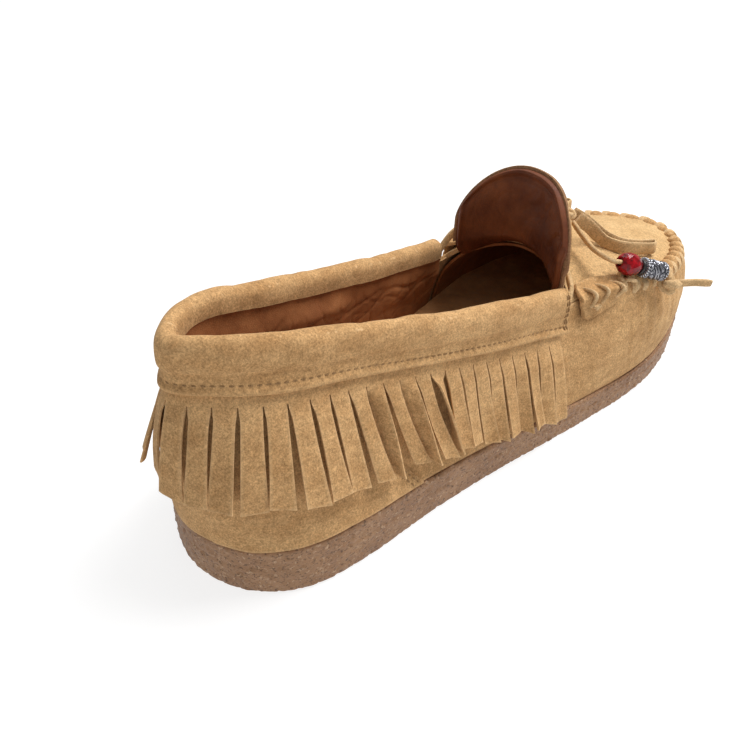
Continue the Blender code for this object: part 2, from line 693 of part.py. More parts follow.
LOOP_ROUTES = {
    "medial": [(11.0, 131.4, 67.4), (13.2, 137.2, 62.6), (15.2, 140.6, 58.8), (18.2, 142.6, 56.6),
               (22.6, 147.0, 54.8), (25.6, 154.5, 52.8), (27.6, 161.6, 51.2), (26.8, 164.6, 51.0),
               (24.6, 163.6, 51.4), (22.8, 156.4, 53.0), (19.8, 149.6, 55.0), (15.4, 145.4, 57.4),
               (11.8, 142.6, 60.2), (9.4, 138.2, 64.0), (7.4, 133.0, 67.6)],
    "lateral": [(0.4, 133.0, 68.0), (-1.6, 137.4, 65.0), (-3.8, 142.4, 61.6), (-6.4, 148.0, 58.8),
                (-9.4, 155.5, 56.4), (-12.2, 162.4, 54.6), (-15.0, 164.4, 53.9),
                (-16.6, 161.4, 54.3), (-14.8, 153.4, 56.4), (-12.4, 146.6, 58.6),
                (-9.6, 141.4, 61.2), (-6.4, 137.4, 64.2), (-4.4, 133.4, 66.8)],
}


def make_tail(side, suede, glass, black, silver):
    """A lace tail with its beads: glass, spacer ring and silver barrel, held by a stopper knot."""
    tail = TAILS[side]
    start, along = np.array(tail["start"]), unit(np.array(tail["along"]))
    straight = [start + along * k for k in np.linspace(0, BEAD_STRETCH, 7)]
    stop = np.array(tail["stopper"])
    last = straight[-1]
    approach = stop + unit(last - stop) * (max(STOPPER_RADII) + GAP)
    tube(side + "_lace_tail", smooth_route(tail["from_knot"] + straight + [approach], 30),
         TAIL_RADIUS, suede)
    make_ellipsoid(side + "_stopper_knot", stop, STOPPER_RADII, suede)
    tube(side + "_tail_end", smooth_route(tail["end"], 8), TAIL_RADIUS, suede)

    bore = TAIL_RADIUS + BEAD_BORE_GAP
    stack = hinge_empty(side + "_bead_stack", start)
    centre = start + along * BEAD_START
    for name, (half, radius), shoulder, finish in (("glass_bead", GLASS, 2.6, glass),
                                                   ("spacer_ring", RING, 2.5, black),
                                                   ("silver_bead", SILVER, 2.9, silver)):
        centre = centre + along * half
        profile = [(-half, bore), (-half, shoulder), (-half * 0.6, radius), (half * 0.6, radius),
                   (half, shoulder), (half, bore)]
        make_ringed(side + "_" + name, centre, along, profile, finish, stack)
        centre = centre + along * (half + GAP)


# === The whole shoe ==============================================================================
def build():
    """Make every piece of the shoe."""
    clear_scene()
    suede = material("tan_suede", (0.50, 0.33, 0.17), 0.9)
    leather = material("brown_lining_leather", (0.36, 0.16, 0.07), 0.5)
    crepe = material("crepe_rubber", (0.33, 0.19, 0.10), 0.6)
    board = material("insole_board", (0.55, 0.47, 0.36), 0.9)
    foam = material("soft_foam", (0.80, 0.76, 0.66), 0.95)
    glass = material("red_glass", (0.60, 0.02, 0.03), 0.1)
    black = material("black_spacer", (0.02, 0.02, 0.02), 0.3)
    silver = material("oxidised_silver", (0.42, 0.42, 0.44), 0.35, 1.0)

    make_outsole(crepe)
    level = GAP + UPPER + GAP
    insole_layer("insole_board", level, level + BOARD, board)
    level += BOARD + GAP
    insole_layer("footbed_foam", level, level + FOAM, foam)
    level += FOAM + GAP
    insole_layer("sock_liner", level, level + SOCK, leather)

    make_upper(suede)
    make_heel_patch(suede)
    make_heel_counter(board)
    make_quarter_lining(leather)
    make_vamp_lining(leather)
    make_plug(suede)
    make_ear("medial", suede)
    make_ear("lateral", suede)
    tongue_fold = hinge_empty("tongue_fold", TONGUE_AXIS)
    make_tongue(tongue_fold, suede, leather)

    make_collar(suede, foam)
    make_fringe(suede)
    tube("seam_lace", seam_lace_route(), SEAM_LACE_RADIUS, suede)
    tube("collar_lace", collar_lace_route(), COLLAR_LACE_RADIUS, suede)
    make_ellipsoid("bow_knot", KNOT_CENTRE, KNOT_RADII, suede)
    for side, points in LOOP_ROUTES.items():
        make_loop(side + "_bow_loop", smooth_route(points, 30), suede)
        make_tail(side, suede, glass, black, silver)


build()
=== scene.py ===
"""Looks of the fringed suede moccasin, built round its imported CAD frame. Blender 4.5.

Forms are worked out in millimetres, in the CAD's own frame: +Y points at the toe, +X is the
medial side and +Z is up. Meshes are turned into metres as they are made.
"""
import math

import bpy
import numpy as np
from mathutils import Matrix, Vector


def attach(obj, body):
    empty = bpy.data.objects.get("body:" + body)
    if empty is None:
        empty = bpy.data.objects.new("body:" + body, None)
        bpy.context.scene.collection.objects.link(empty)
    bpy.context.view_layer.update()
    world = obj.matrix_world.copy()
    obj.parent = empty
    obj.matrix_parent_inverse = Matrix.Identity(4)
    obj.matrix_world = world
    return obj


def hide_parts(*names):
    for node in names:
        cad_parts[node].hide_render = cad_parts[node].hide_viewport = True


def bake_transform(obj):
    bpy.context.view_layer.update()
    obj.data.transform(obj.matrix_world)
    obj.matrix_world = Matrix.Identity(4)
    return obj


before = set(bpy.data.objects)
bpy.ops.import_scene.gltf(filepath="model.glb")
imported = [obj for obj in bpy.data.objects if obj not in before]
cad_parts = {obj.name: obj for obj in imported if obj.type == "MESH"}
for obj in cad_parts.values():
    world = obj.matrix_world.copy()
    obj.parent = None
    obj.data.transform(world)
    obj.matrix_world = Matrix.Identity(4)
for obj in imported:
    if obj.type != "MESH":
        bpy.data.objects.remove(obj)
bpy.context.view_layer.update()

MM = 0.001
ABOVE = np.array([0, 0, 1.0])

# --- Camera ---
CAMERA_PLACE = (151.4, -105.9, 195.1)
CAMERA_YAW, CAMERA_PITCH, CAMERA_ROLL = -46.41, 38.33, 0.99      # degrees
CAMERA_LENS, CAMERA_SENSOR = 38.2, 36.0
CAMERA_SHIFT = (0.0104, 0.0237)

# --- Driving form, the same as the CAD's ---
# One row per station, from the heel's back round the medial side to the toe and back along the
# lateral side: sole edge (x, y), top edge of the upper (x, y, z), how late the wall leans in to
# that top edge, and how far it bulges.
STATIONS = [
    (0.0, -34.0, -1.0, -29.2, 75.0, 1.00, 2.2),
    (18.0, -28.6, 8.9, -19.3, 75.0, 1.00, 2.0),
    (30.0, -14.5, 14.7, -6.4, 73.1, 0.95, 1.2),
    (33.8, 6.0, 17.9, 10.0, 69.7, 0.85, 0.4),
    (34.1, 36.0, 21.9, 36.3, 63.2, 0.80, 0.0),
    (35.7, 64.0, 25.0, 64.1, 56.5, 0.80, 0.0),
    (38.2, 88.0, 27.1, 90.0, 51.2, 0.95, 0.3),
    (40.0, 104.5, 28.3, 104.5, 48.5, 1.20, 0.8),
    (41.2, 119.0, 31.0, 119.0, 49.6, 1.90, 1.2),
    (42.6, 140.0, 36.2, 139.0, 47.6, 2.60, 1.4),
    (41.6, 159.0, 37.2, 158.0, 45.4, 2.80, 1.2),
    (36.8, 178.0, 32.5, 177.0, 43.2, 2.60, 1.2),
    (26.0, 200.0, 22.0, 193.5, 41.6, 2.20, 1.4),
    (6.5, 216.0, 6.5, 201.5, 41.0, 2.20, 1.4),
    (-13.5, 206.5, -9.5, 193.5, 41.6, 2.20, 1.4),
    (-31.0, 186.0, -20.0, 177.0, 43.2, 2.40, 1.4),
    (-41.0, 160.0, -25.0, 158.0, 45.4, 2.60, 1.4),
    (-44.0, 137.0, -26.5, 138.0, 47.0, 2.40, 1.4),
    (-42.3, 118.0, -29.0, 118.0, 46.6, 1.70, 1.2),
    (-39.6, 104.5, -30.6, 104.5, 43.7, 1.20, 0.8),
    (-36.6, 88.0, -28.3, 90.0, 46.5, 0.95, 0.3),
    (-33.8, 64.0, -24.9, 64.1, 52.3, 0.80, 0.0),
    (-33.2, 36.0, -20.9, 36.3, 59.6, 0.80, 0.0),
    (-33.8, 6.0, -17.4, 10.0, 67.0, 0.85, 0.4),
    (-30.0, -14.5, -15.2, -6.8, 72.0, 0.95, 1.2),
    (-18.0, -28.6, -10.9, -19.9, 74.6, 1.00, 2.0),
]
LAST = len(STATIONS)
TOE = 13.0
MEDIAL_END, LATERAL_END = 6.9, 19.1
SOLE_HEIGHTS = ((-34.0, 18.2), (6.0, 18.2), (76.0, 13.1), (126.0, 11.1), (230.0, 11.1))
TOE_SPRING, SPRING_START, TOE_Y = 6.5, 126.0, 216.0
GAP = 0.3
FEATHER_INSET = 1.0
UPPER = 1.5
PLUG_BACK_MEDIAL, PLUG_BACK_LATERAL = 7.25, 18.75
PLUG_DOME = 12.5
THROAT_BULGE = 9.0
COLLAR_RISE, COLLAR_SHIFT = 8.8, 0.2
TONGUE_X, TONGUE_Y, TONGUE_HALF, TONGUE_BOW = 0.5, 115.6, 25.5, 10.0
TONGUE_FOOT_MID, TONGUE_FOOT_SIDE = 61.0, 53.5
TONGUE_SIDE_TOP, TONGUE_RISE = 62.0, 25.3


# === Small tools ===
def unit(vectors):
    """The vectors at length one."""
    return vectors / np.linalg.norm(vectors, axis=-1, keepdims=True)


def ease(value, low, high):
    """A smooth step from 0 at low to 1 at high."""
    t = np.clip((value - low) / (high - low), 0.0, 1.0)
    return t * t * (3 - 2 * t)


def on_curve(table, where, closed=True):
    """Points of a smooth curve through the table's rows, at fractional row numbers."""
    rows = np.asarray(table, float)
    where = np.asarray(where, float)
    if not closed:
        rows = np.vstack([2 * rows[0] - rows[1], rows, 2 * rows[-1] - rows[-2]])
        where = np.clip(where, 0, len(rows) - 3 - 1e-9) + 1
    first = np.floor(where).astype(int)
    t = (where - first)[..., None]
    p0, p1, p2, p3 = (rows[(first + k) % len(rows)] for k in (-1, 0, 1, 2))
    return 0.5 * (2 * p1 + (p2 - p0) * t + (2 * p0 - 5 * p1 + 4 * p2 - p3) * t ** 2
                  + (3 * p1 - p0 - 3 * p2 + p3) * t ** 3)


def run_length(points):
    """How far along a line of points each one lies."""
    return np.r_[0, np.cumsum(np.linalg.norm(np.diff(points, axis=0), axis=1))]


def smooth_route(points, count):
    """Evenly spaced points on a smooth open curve through a route's own points."""
    dense = on_curve(points, np.linspace(0, len(points) - 1, 24 * len(points)), closed=False)
    steps = run_length(dense)
    wanted = np.linspace(0, steps[-1], count)
    return np.column_stack([np.interp(wanted, steps, dense[:, axis]) for axis in range(3)])


def ripples(points, wavelength, seed, waves=14):
    """Smooth random relief of about one wavelength, mostly between -1 and 1."""
    draw = np.random.default_rng(seed)
    directions = unit(draw.normal(size=(waves, 3)))
    lengths = wavelength * draw.uniform(0.65, 1.5, waves)
    phases = draw.uniform(0, 2 * np.pi, waves)
    total = np.zeros(points.shape[:-1])
    for direction, length, phase in zip(directions, lengths, phases):
        total += np.sin(points @ direction * (2 * np.pi / length) + phase)
    return total / math.sqrt(waves)


def creases(points, wavelength, seed, sharpness=0.22):
    """A net of thin lines, 1 on a line and 0 off it."""
    return np.exp(-(ripples(points, wavelength, seed) / sharpness) ** 2)


# === Mesh building ===
def grid_faces(rows, columns, wraps=False):
    """The faces of a grid of points; its rows may close into a ring."""
    i, k = np.meshgrid(np.arange(rows if wraps else rows - 1), np.arange(columns - 1),
                       indexing="ij")
    after = (i + 1) % rows
    corners = [i * columns + k, i * columns + k + 1, after * columns + k + 1, after * columns + k]
    return np.stack(corners, -1).reshape(-1, 4)


def shell(outer, inner, faces):
    """Two matching skins of a layer, closed with a rim along every free edge."""
    outer, inner = outer.reshape(-1, 3), inner.reshape(-1, 3)
    count = len(outer)
    start, end = faces.reshape(-1), np.roll(faces, -1, axis=1).reshape(-1)
    free = ~np.isin(start * count + end, end * count + start)
    start, end = start[free], end[free]
    rim = np.stack([end, start, start + count, end + count], -1)
    return np.vstack([outer, inner]), np.vstack([faces, faces[:, ::-1] + count, rim])


def layer(outer, inner):
    """A closed layer between two matching grids of points."""
    return shell(outer, inner, grid_faces(*outer.shape[:2]))


def sweep(sections, closed=False):
    """A solid through equal rings of points, with its ends filled by fans."""
    sections = np.asarray(sections)
    rows, around = sections.shape[:2]
    points = sections.reshape(-1, 3)
    i, k = np.meshgrid(np.arange(rows if closed else rows - 1), np.arange(around), indexing="ij")
    beside, after = (k + 1) % around, (i + 1) % rows
    faces = np.stack([i * around + k, i * around + beside, after * around + beside,
                      after * around + k], -1).reshape(-1, 4)
    if not closed:
        ring = np.arange(around)
        following = (ring + 1) % around
        first, last = len(points), len(points) + 1
        points = np.vstack([points, sections[0].mean(axis=0), sections[-1].mean(axis=0)])
        base = (rows - 1) * around
        head = np.stack([following, ring, np.full(around, first), np.full(around, first)], -1)
        tail = np.stack([base + ring, base + following, np.full(around, last),
                         np.full(around, last)], -1)
        faces = np.vstack([faces, head, tail])
    return points, faces


def joined(parts):
    """Several point and face pairs as one."""
    points, faces, count = [], [], 0
    for some_points, some_faces in parts:
        points.append(some_points)
        faces.append(some_faces + count)
        count += len(some_points)
    return np.vstack(points), np.vstack(faces)


def volume(points, faces):
    """The signed volume inside closed faces."""
    a, b, c, d = (points[faces[:, k]] for k in range(4))
    return (np.einsum("ij,ij->i", a, np.cross(b, c))
            + np.einsum("ij,ij->i", a, np.cross(c, d))).sum()


def make_piece(name, mesh_data, finish, nodes, body="shoe", sharp=50):
    """One visible piece from its points in millimetres, riding on a body and standing for nodes."""
    points, faces = mesh_data
    if volume(points, faces) < 0:
        faces = faces[:, ::-1]
    corners = [tuple(dict.fromkeys(face)) for face in faces.tolist()]
    mesh = bpy.data.meshes.new(name)
    mesh.from_pydata((points * MM).tolist(), [], corners)
    mesh.materials.append(finish)
    mesh.shade_smooth()
    mesh.set_sharp_from_angle(angle=math.radians(sharp))
    made = bpy.data.objects.new(name, mesh)
    bpy.context.collection.objects.link(made)
    if body is not None:
        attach(made, body)
    if nodes:
        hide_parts(*nodes)
    return made


def strap_section(width, thickness, around=12):
    """The rounded outline of a flat lace, as (across, through) pairs."""
    angles = np.linspace(0, 2 * np.pi, around, endpoint=False) + np.pi / around
    power = 0.55
    return [(width / 2 * math.copysign(abs(math.cos(a)) ** power, math.cos(a)),
             thickness / 2 * math.copysign(abs(math.sin(a)) ** power, math.sin(a))) for a in angles]


def swept_strap(route, across, section, taper=0.0):
    """A strap along a route; across gives its width's direction at each point."""
    route = np.asarray(route, float)
    along = unit(np.gradient(route, axis=0))
    across = np.broadcast_to(np.asarray(across, float), route.shape)
    across = unit(across - along * np.sum(across * along, axis=1, keepdims=True))
    through = np.cross(along, across)
    size = np.ones(len(route))
    if taper:
        end = np.minimum(np.arange(len(route)), np.arange(len(route))[::-1])
        size = 1 - taper * (1 - ease(end, 0, 3))
    sections = [[place + (side * a + normal * t) * s for a, t in section]
                for place, side, normal, s in zip(route, across, through, size)]
    return sweep(sections)


# === The shoe's form ===
def outward(u):
    """The horizontal direction that points out of the shoe at station u."""
    u = np.asarray(u, float)
    along = (on_curve(STATIONS, u + 0.05) - on_curve(STATIONS, u - 0.05))[..., :2]
    return unit(np.stack([along[..., 1], -along[..., 0], np.zeros(u.shape)], -1))


def spring(y):
    """How far the toe end of the sole curls up off the ground."""
    return TOE_SPRING * np.maximum(0.0, (y - SPRING_START) / (TOE_Y - SPRING_START)) ** 2


def sole_height(y):
    """The sole's thickness along the shoe."""
    return np.interp(y, [p[0] for p in SOLE_HEIGHTS], [p[1] for p in SOLE_HEIGHTS])


def sole_top(y):
    """The height of the sole's top face."""
    return sole_height(y) + spring(y)


def sole_edge(u, inset=0.0):
    """The sole's edge in plan, as points at height zero."""
    plan = on_curve(STATIONS, u)[..., :2]
    return np.concatenate([plan, np.zeros(plan.shape[:-1] + (1,))], -1) - outward(u) * inset


def wall(u, v, offset=0.0):
    """Points on the upper's outer face: v runs from 0 at the sole to 1 at the top edge."""
    u, v = np.broadcast_arrays(np.asarray(u, float), np.asarray(v, float))
    row, n = on_curve(STATIONS, u), outward(u)
    foot = sole_edge(u, FEATHER_INSET)
    foot[..., 2] = sole_top(foot[..., 1]) + GAP
    top = row[..., 2:5]
    rise = np.clip(v, 0, None) ** row[..., 5]
    bulge = row[..., 6] * np.sin(np.pi * np.clip(v, 0, 1))
    place = foot + (top - foot) * rise[..., None] + n * bulge[..., None]
    place[..., 2] = foot[..., 2] + (top[..., 2] - foot[..., 2]) * v
    offset = np.asarray(offset, float)
    if offset.any():
        place = place + offset[..., None] * wall_normal(u, v)
    return place


def wall_normal(u, v):
    """The upper's outward direction."""
    low, high = np.clip(v - 0.06, 0, 1), np.clip(v + 0.06, 0.05, 1)
    along = wall(u + 0.08, v) - wall(u - 0.08, v)
    return unit(np.cross(along, wall(u, high) - wall(u, low)))


def wall_height(u):
    """The height of the upper from the sole to its top edge."""
    return wall(u, 1.0)[..., 2] - wall(u, 0.0)[..., 2]


def v_at_height(u, z):
    """The wall parameter at a height."""
    return (z - wall(u, 0.0)[..., 2]) / wall_height(u)


def collar_line(u):
    """The top centre line of the padded collar."""
    return wall(u, 1.0) - outward(u) * COLLAR_SHIFT + ABOVE * COLLAR_RISE


def plug_point(a, b, offset=0.0):
    """Points of the plug: a runs from the throat to the toe, b from lateral to medial."""
    a, b = np.broadcast_arrays(np.asarray(a, float), np.asarray(b, float))
    medial = wall(PLUG_BACK_MEDIAL + (TOE - PLUG_BACK_MEDIAL) * a, 1.0)
    lateral = wall(PLUG_BACK_LATERAL + (TOE - PLUG_BACK_LATERAL) * a, 1.0)
    place = lateral + (medial - lateral) * b[..., None]
    crown = 1 - (2 * b - 1) ** 2
    still = np.clip(1 - a, 0, None)
    place[..., 1] += THROAT_BULGE * crown * still ** 2
    place[..., 2] += PLUG_DOME * crown * still ** 1.15
    offset = np.asarray(offset, float)
    if offset.any():
        place = place + offset[..., None] * plug_normal(a, b)
    return place


def plug_normal(a, b):
    """The plug's upward direction."""
    along = plug_point(np.minimum(a + 0.04, 0.97), b) - plug_point(np.clip(a - 0.04, 0, 0.93), b)
    across = plug_point(a, np.minimum(b + 0.05, 1.0)) - plug_point(a, np.maximum(b - 0.05, 0.0))
    return unit(np.cross(across, along))


def tongue_point(q, r, offset):
    """Points of the tongue: q runs across from -1 to 1, r from its foot to its rounded top."""
    q, r = np.broadcast_arrays(np.asarray(q, float), np.asarray(r, float))
    bow = 2 * TONGUE_BOW * q / TONGUE_HALF
    slope = unit(np.stack([bow, np.ones(q.shape), np.zeros(q.shape)], -1))
    foot = TONGUE_FOOT_MID + (TONGUE_FOOT_SIDE - TONGUE_FOOT_MID) * q * q
    power, round_off = np.where(q > 0, 2.7, 2.05), np.where(q > 0, 0.55, 0.60)
    top = TONGUE_SIDE_TOP + TONGUE_RISE * np.clip(1 - np.abs(q) ** power, 0, None) ** round_off
    place = np.stack([TONGUE_X + TONGUE_HALF * q, TONGUE_Y - TONGUE_BOW * q * q,
                      foot + (top - foot) * r], -1)
    return place + slope * np.asarray(offset, float)[..., None]


def ladder(edge_of, rungs, steps):
    """A grid across the shoe, from each medial edge point to the lateral one opposite it."""
    u = np.linspace(0, TOE, rungs)
    medial, lateral = edge_of(u), edge_of((LAST - u) % LAST)
    t = np.linspace(0, 1, steps)[None, :, None]
    return medial[:, None] * (1 - t) + lateral[:, None] * t


# === Materials ===
class Finish:
    """A material in the making: its node tree, its shader and its place coordinates."""

    def __init__(self, name, roughness=0.8, metallic=0.0, **sockets):
        self.material = bpy.data.materials.new(name)
        self.material.use_nodes = True
        self.tree = self.material.node_tree
        self.shader = self.tree.nodes["Principled BSDF"]
        self.shader.inputs["Roughness"].default_value = roughness
        self.shader.inputs["Metallic"].default_value = metallic
        for socket, value in sockets.items():
            self.shader.inputs[socket.replace("_", " ")].default_value = value
        self.place = self.tree.nodes.new("ShaderNodeTexCoord").outputs["Object"]

    def link(self, source, target):
        self.tree.links.new(source, target)

    def stretched(self, scale):
        """Place coordinates scaled differently along each axis."""
        node = self.tree.nodes.new("ShaderNodeMapping")
        node.inputs["Scale"].default_value = scale
        self.link(self.place, node.inputs["Vector"])
        return node.outputs["Vector"]

    def noise(self, scale, detail=3.0, rough=0.55, place=None):
        """Fractal noise; scale is features per metre."""
        node = self.tree.nodes.new("ShaderNodeTexNoise")
        node.inputs["Scale"].default_value = scale
        node.inputs["Detail"].default_value = detail
        node.inputs["Roughness"].default_value = rough
        self.link(place or self.place, node.inputs["Vector"])
        return node.outputs["Fac"]

    def cells(self, scale, feature="DISTANCE_TO_EDGE"):
        """Cell pattern: the distance to the nearest cell edge or centre."""
        node = self.tree.nodes.new("ShaderNodeTexVoronoi")
        node.feature = feature
        node.inputs["Scale"].default_value = scale
        self.link(self.place, node.inputs["Vector"])
        return node.outputs["Distance"]

    def ramp(self, factor, *stops):
        """Colours or greys by factor; each stop is (position, colour)."""
        node = self.tree.nodes.new("ShaderNodeValToRGB")
        elements = node.color_ramp.elements
        while len(elements) < len(stops):
            elements.new(0.5)
        for element, (position, colour) in zip(elements, stops):
            element.position = position
            colour = (colour,) * 3 if isinstance(colour, float) else colour
            element.color = (*colour, 1.0)
        self.link(factor, node.inputs["Fac"])
        return node.outputs["Color"]

    def mix(self, factor, first, second, blend="MIX"):
        """Two colours mixed; factor is a number or a socket."""
        node = self.tree.nodes.new("ShaderNodeMix")
        node.data_type = "RGBA"
        node.blend_type = blend
        for value, socket in ((factor, node.inputs[0]), (first, node.inputs[6]),
                              (second, node.inputs[7])):
            if isinstance(value, bpy.types.NodeSocket):
                self.link(value, socket)
            else:
                socket.default_value = value if isinstance(value, float) else (*value, 1.0)
        return node.outputs[2]

    def pointiness(self):
        """High on outer edges and low in hollows."""
        return self.tree.nodes.new("ShaderNodeNewGeometry").outputs["Pointiness"]

    def colour(self, socket):
        self.link(socket, self.shader.inputs["Base Color"])

    def roughness(self, factor, low, high):
        """Roughness between two values, by factor."""
        self.link(self.ramp(factor, (0.3, low), (0.7, high)), self.shader.inputs["Roughness"])

    def bumps(self, *layers):
        """Relief from layers of (height socket, strength, depth in metres)."""
        normal = None
        for height, strength, depth in layers:
            node = self.tree.nodes.new("ShaderNodeBump")
            node.inputs["Strength"].default_value = strength
            node.inputs["Distance"].default_value = depth
            self.link(height, node.inputs["Height"])
            if normal is not None:
                self.link(normal, node.inputs["Normal"])
            normal = node.outputs["Normal"]
        self.link(normal, self.shader.inputs["Normal"])


def suede(name, dark, light, worn, nap_scale=620.0):
    """Napped leather: brushed patches, a fine fibrous grain and paler rubbed edges."""
    made = Finish(name, 0.95, Specular_IOR_Level=0.08, Sheen_Weight=0.12, Sheen_Roughness=0.5,
                  Sheen_Tint=(1.0, 0.80, 0.52, 1.0))
    patches = made.noise(52.0, 5.0, 0.6)
    brushed = made.noise(1.0, 4.0, 0.65, made.stretched((150.0, 90.0, 240.0)))
    nap = made.noise(nap_scale, 4.0, 0.7)
    grain = made.noise(1700.0, 4.0, 0.8)
    fibre = made.noise(3600.0, 3.0, 0.7)
    base = made.ramp(patches, (0.30, dark), (0.72, light))
    base = made.mix(0.5, base, made.ramp(brushed, (0.37, dark), (0.63, light)))
    base = made.mix(0.6, base, made.ramp(nap, (0.30, 0.68), (0.70, 1.20)), "MULTIPLY")
    base = made.mix(0.75, base, made.ramp(grain, (0.34, 0.45), (0.66, 1.42)), "MULTIPLY")
    rubbed = made.ramp(made.pointiness(), (0.53, 0.0), (0.63, 1.0))
    made.colour(made.mix(made.mix(1.0, rubbed, made.ramp(nap, (0.3, 0.2), (0.7, 1.0)), "MULTIPLY"),
                         base, worn))
    made.bumps((nap, 0.35, 0.0004), (fibre, 0.4, 0.00015))
    return made.material


def lining_leather(name, dark, light, gloss=0.56):
    """Smooth lining leather with a fine pebble grain and darker handled patches."""
    made = Finish(name, gloss, Specular_IOR_Level=0.28)
    patches = made.noise(70.0, 4.0, 0.6)
    grain = made.cells(1500.0)
    base = made.ramp(patches, (0.34, dark), (0.68, light))
    pores = made.ramp(grain, (0.0, 0.72), (0.16, 1.0))
    base = made.mix(0.6, base, pores, "MULTIPLY")
    streaks = made.noise(420.0, 3.0, 0.6)
    made.colour(made.mix(0.4, base, made.ramp(streaks, (0.3, 0.75), (0.7, 1.2)), "MULTIPLY"))
    made.roughness(streaks, gloss - 0.06, gloss + 0.16)
    made.bumps((made.ramp(grain, (0.0, 0.0), (0.25, 1.0)), 0.3, 0.00012), (streaks, 0.25, 0.0003))
    return made.material


def crepe_rubber():
    """Translucent brown crepe: pale flecks, dark pits and a slightly waxy surface."""
    made = Finish("crepe_rubber", 0.5, Specular_IOR_Level=0.4, Subsurface_Weight=0.06,
                  Subsurface_Scale=0.003, Subsurface_Radius=(1.0, 0.45, 0.25))
    clouds = made.noise(60.0, 4.0, 0.6)
    flecks = made.noise(620.0, 4.0, 0.75)
    pits = made.noise(900.0, 3.0, 0.6, made.stretched((1.3, 1.0, 1.6)))
    base = made.ramp(clouds, (0.35, (0.240, 0.118, 0.052)), (0.66, (0.340, 0.184, 0.088)))
    base = made.mix(made.ramp(flecks, (0.56, 0.0), (0.66, 0.85)), base, (0.52, 0.35, 0.22))
    base = made.mix(made.ramp(pits, (0.34, 0.9), (0.46, 0.0)), base, (0.10, 0.048, 0.025))
    made.colour(base)
    made.roughness(flecks, 0.42, 0.68)
    made.bumps((flecks, 0.5, 0.0005), (pits, 0.5, 0.0004))
    return made.material


def plain(name, noise, colours, reach=(0.3, 0.7), gloss=None, relief=None, **sockets):
    """A material of one noise, which sets its colour and, where given, its gloss and relief."""
    made = Finish(name, **sockets)
    grain = made.noise(*noise[:3], made.stretched(noise[3]) if noise[3:] else None)
    made.colour(made.ramp(grain, *zip(reach, colours)))
    if gloss:
        made.roughness(grain, *gloss)
    if relief:
        made.bumps((grain, *relief))
    return made.material


def open_foam():
    """Soft open-cell foam."""
    made = Finish("soft_foam", 0.95)
    holes = made.cells(1400.0, "F1")
    made.colour(made.ramp(holes, (0.1, (0.62, 0.58, 0.48)), (0.5, (0.84, 0.80, 0.70))))
    made.bumps((holes, 0.6, 0.0003))
    return made.material


def oxidised_silver():
    """Cast silver, bright on its raised scrolls and blackened in its hollows."""
    made = Finish("oxidised_silver", 0.34, 1.0)
    tarnish = made.noise(500.0, 4.0, 0.65)
    hollows = made.ramp(made.pointiness(), (0.46, (0.010, 0.010, 0.012)),
                        (0.505, (0.12, 0.12, 0.14)), (0.57, (0.70, 0.70, 0.73)))
    made.colour(made.mix(0.5, hollows, made.ramp(tarnish, (0.3, 0.55), (0.7, 1.2)), "MULTIPLY"))
    made.roughness(tarnish, 0.24, 0.46)
    made.bumps((tarnish, 0.3, 0.0001))
    return made.material


TAN = suede("tan_suede", (0.420, 0.230, 0.094), (0.630, 0.387, 0.180), (0.70, 0.46, 0.24))
# The plug's suede: the tan suede painted paler, as painted light for the strong light on the plug's
# top.
LIT_PLUG_TAN = suede("plug_suede_painted_light", (0.500, 0.308, 0.138), (0.665, 0.440, 0.215), (0.74, 0.51, 0.28))
LACE = suede("lace_suede", (0.460, 0.285, 0.132), (0.690, 0.460, 0.235), (0.76, 0.57, 0.35), 900.0)
BROWN = lining_leather("lining_leather", (0.225, 0.072, 0.022), (0.370, 0.142, 0.050))
# The tongue's lining: the lining leather painted darker, as painted shade, because the tongue's
# inside faces away from the light.
SHADED_TONGUE_BROWN = lining_leather("tongue_leather_painted_shade", (0.100, 0.022, 0.006), (0.215, 0.060, 0.016))
# The suede's flesh side: its own browner colour, painted darker with painted shade for the tongue's
# shaded back and raw edges.
FLESH_AND_SHADE = suede("flesh_side_and_shade", (0.220, 0.110, 0.055), (0.340, 0.185, 0.098), (0.42, 0.25, 0.14))
FOOTBED = lining_leather("footbed_leather", (0.48, 0.22, 0.085), (0.62, 0.32, 0.135), 0.5)
CREPE = crepe_rubber()
# Twisted sewing thread, its tan darkened as painted shade for the sunken stitches; pressed fibre
# board, cloudy red glass and streaked black horn.
SHADED_THREAD = plain("thread_painted_shade", (2600.0, 2.0, 0.55), ((0.20, 0.11, 0.045), (0.36, 0.22, 0.105)),
               relief=(0.6, 0.0001), roughness=0.8, Specular_IOR_Level=0.15)
BOARD = plain("insole_board", (1.0, 4.0, 0.7, (900.0, 300.0, 900.0)),
              ((0.42, 0.35, 0.26), (0.62, 0.54, 0.43)), relief=(0.4, 0.0002), roughness=0.9)
GLASS = plain("red_glass", (380.0, 3.0, 0.55), ((0.11, 0.001, 0.003), (0.50, 0.003, 0.010)),
              (0.35, 0.65), (0.08, 0.2), roughness=0.1, IOR=1.5, Transmission_Weight=0.25,
              Specular_IOR_Level=0.2)
BLACK = plain("black_spacer", (900.0, 3.0, 0.55), ((0.010, 0.009, 0.009), (0.035, 0.030, 0.028)),
              gloss=(0.18, 0.35), roughness=0.25)
FOAM = open_foam()
SILVER = oxidised_silver()


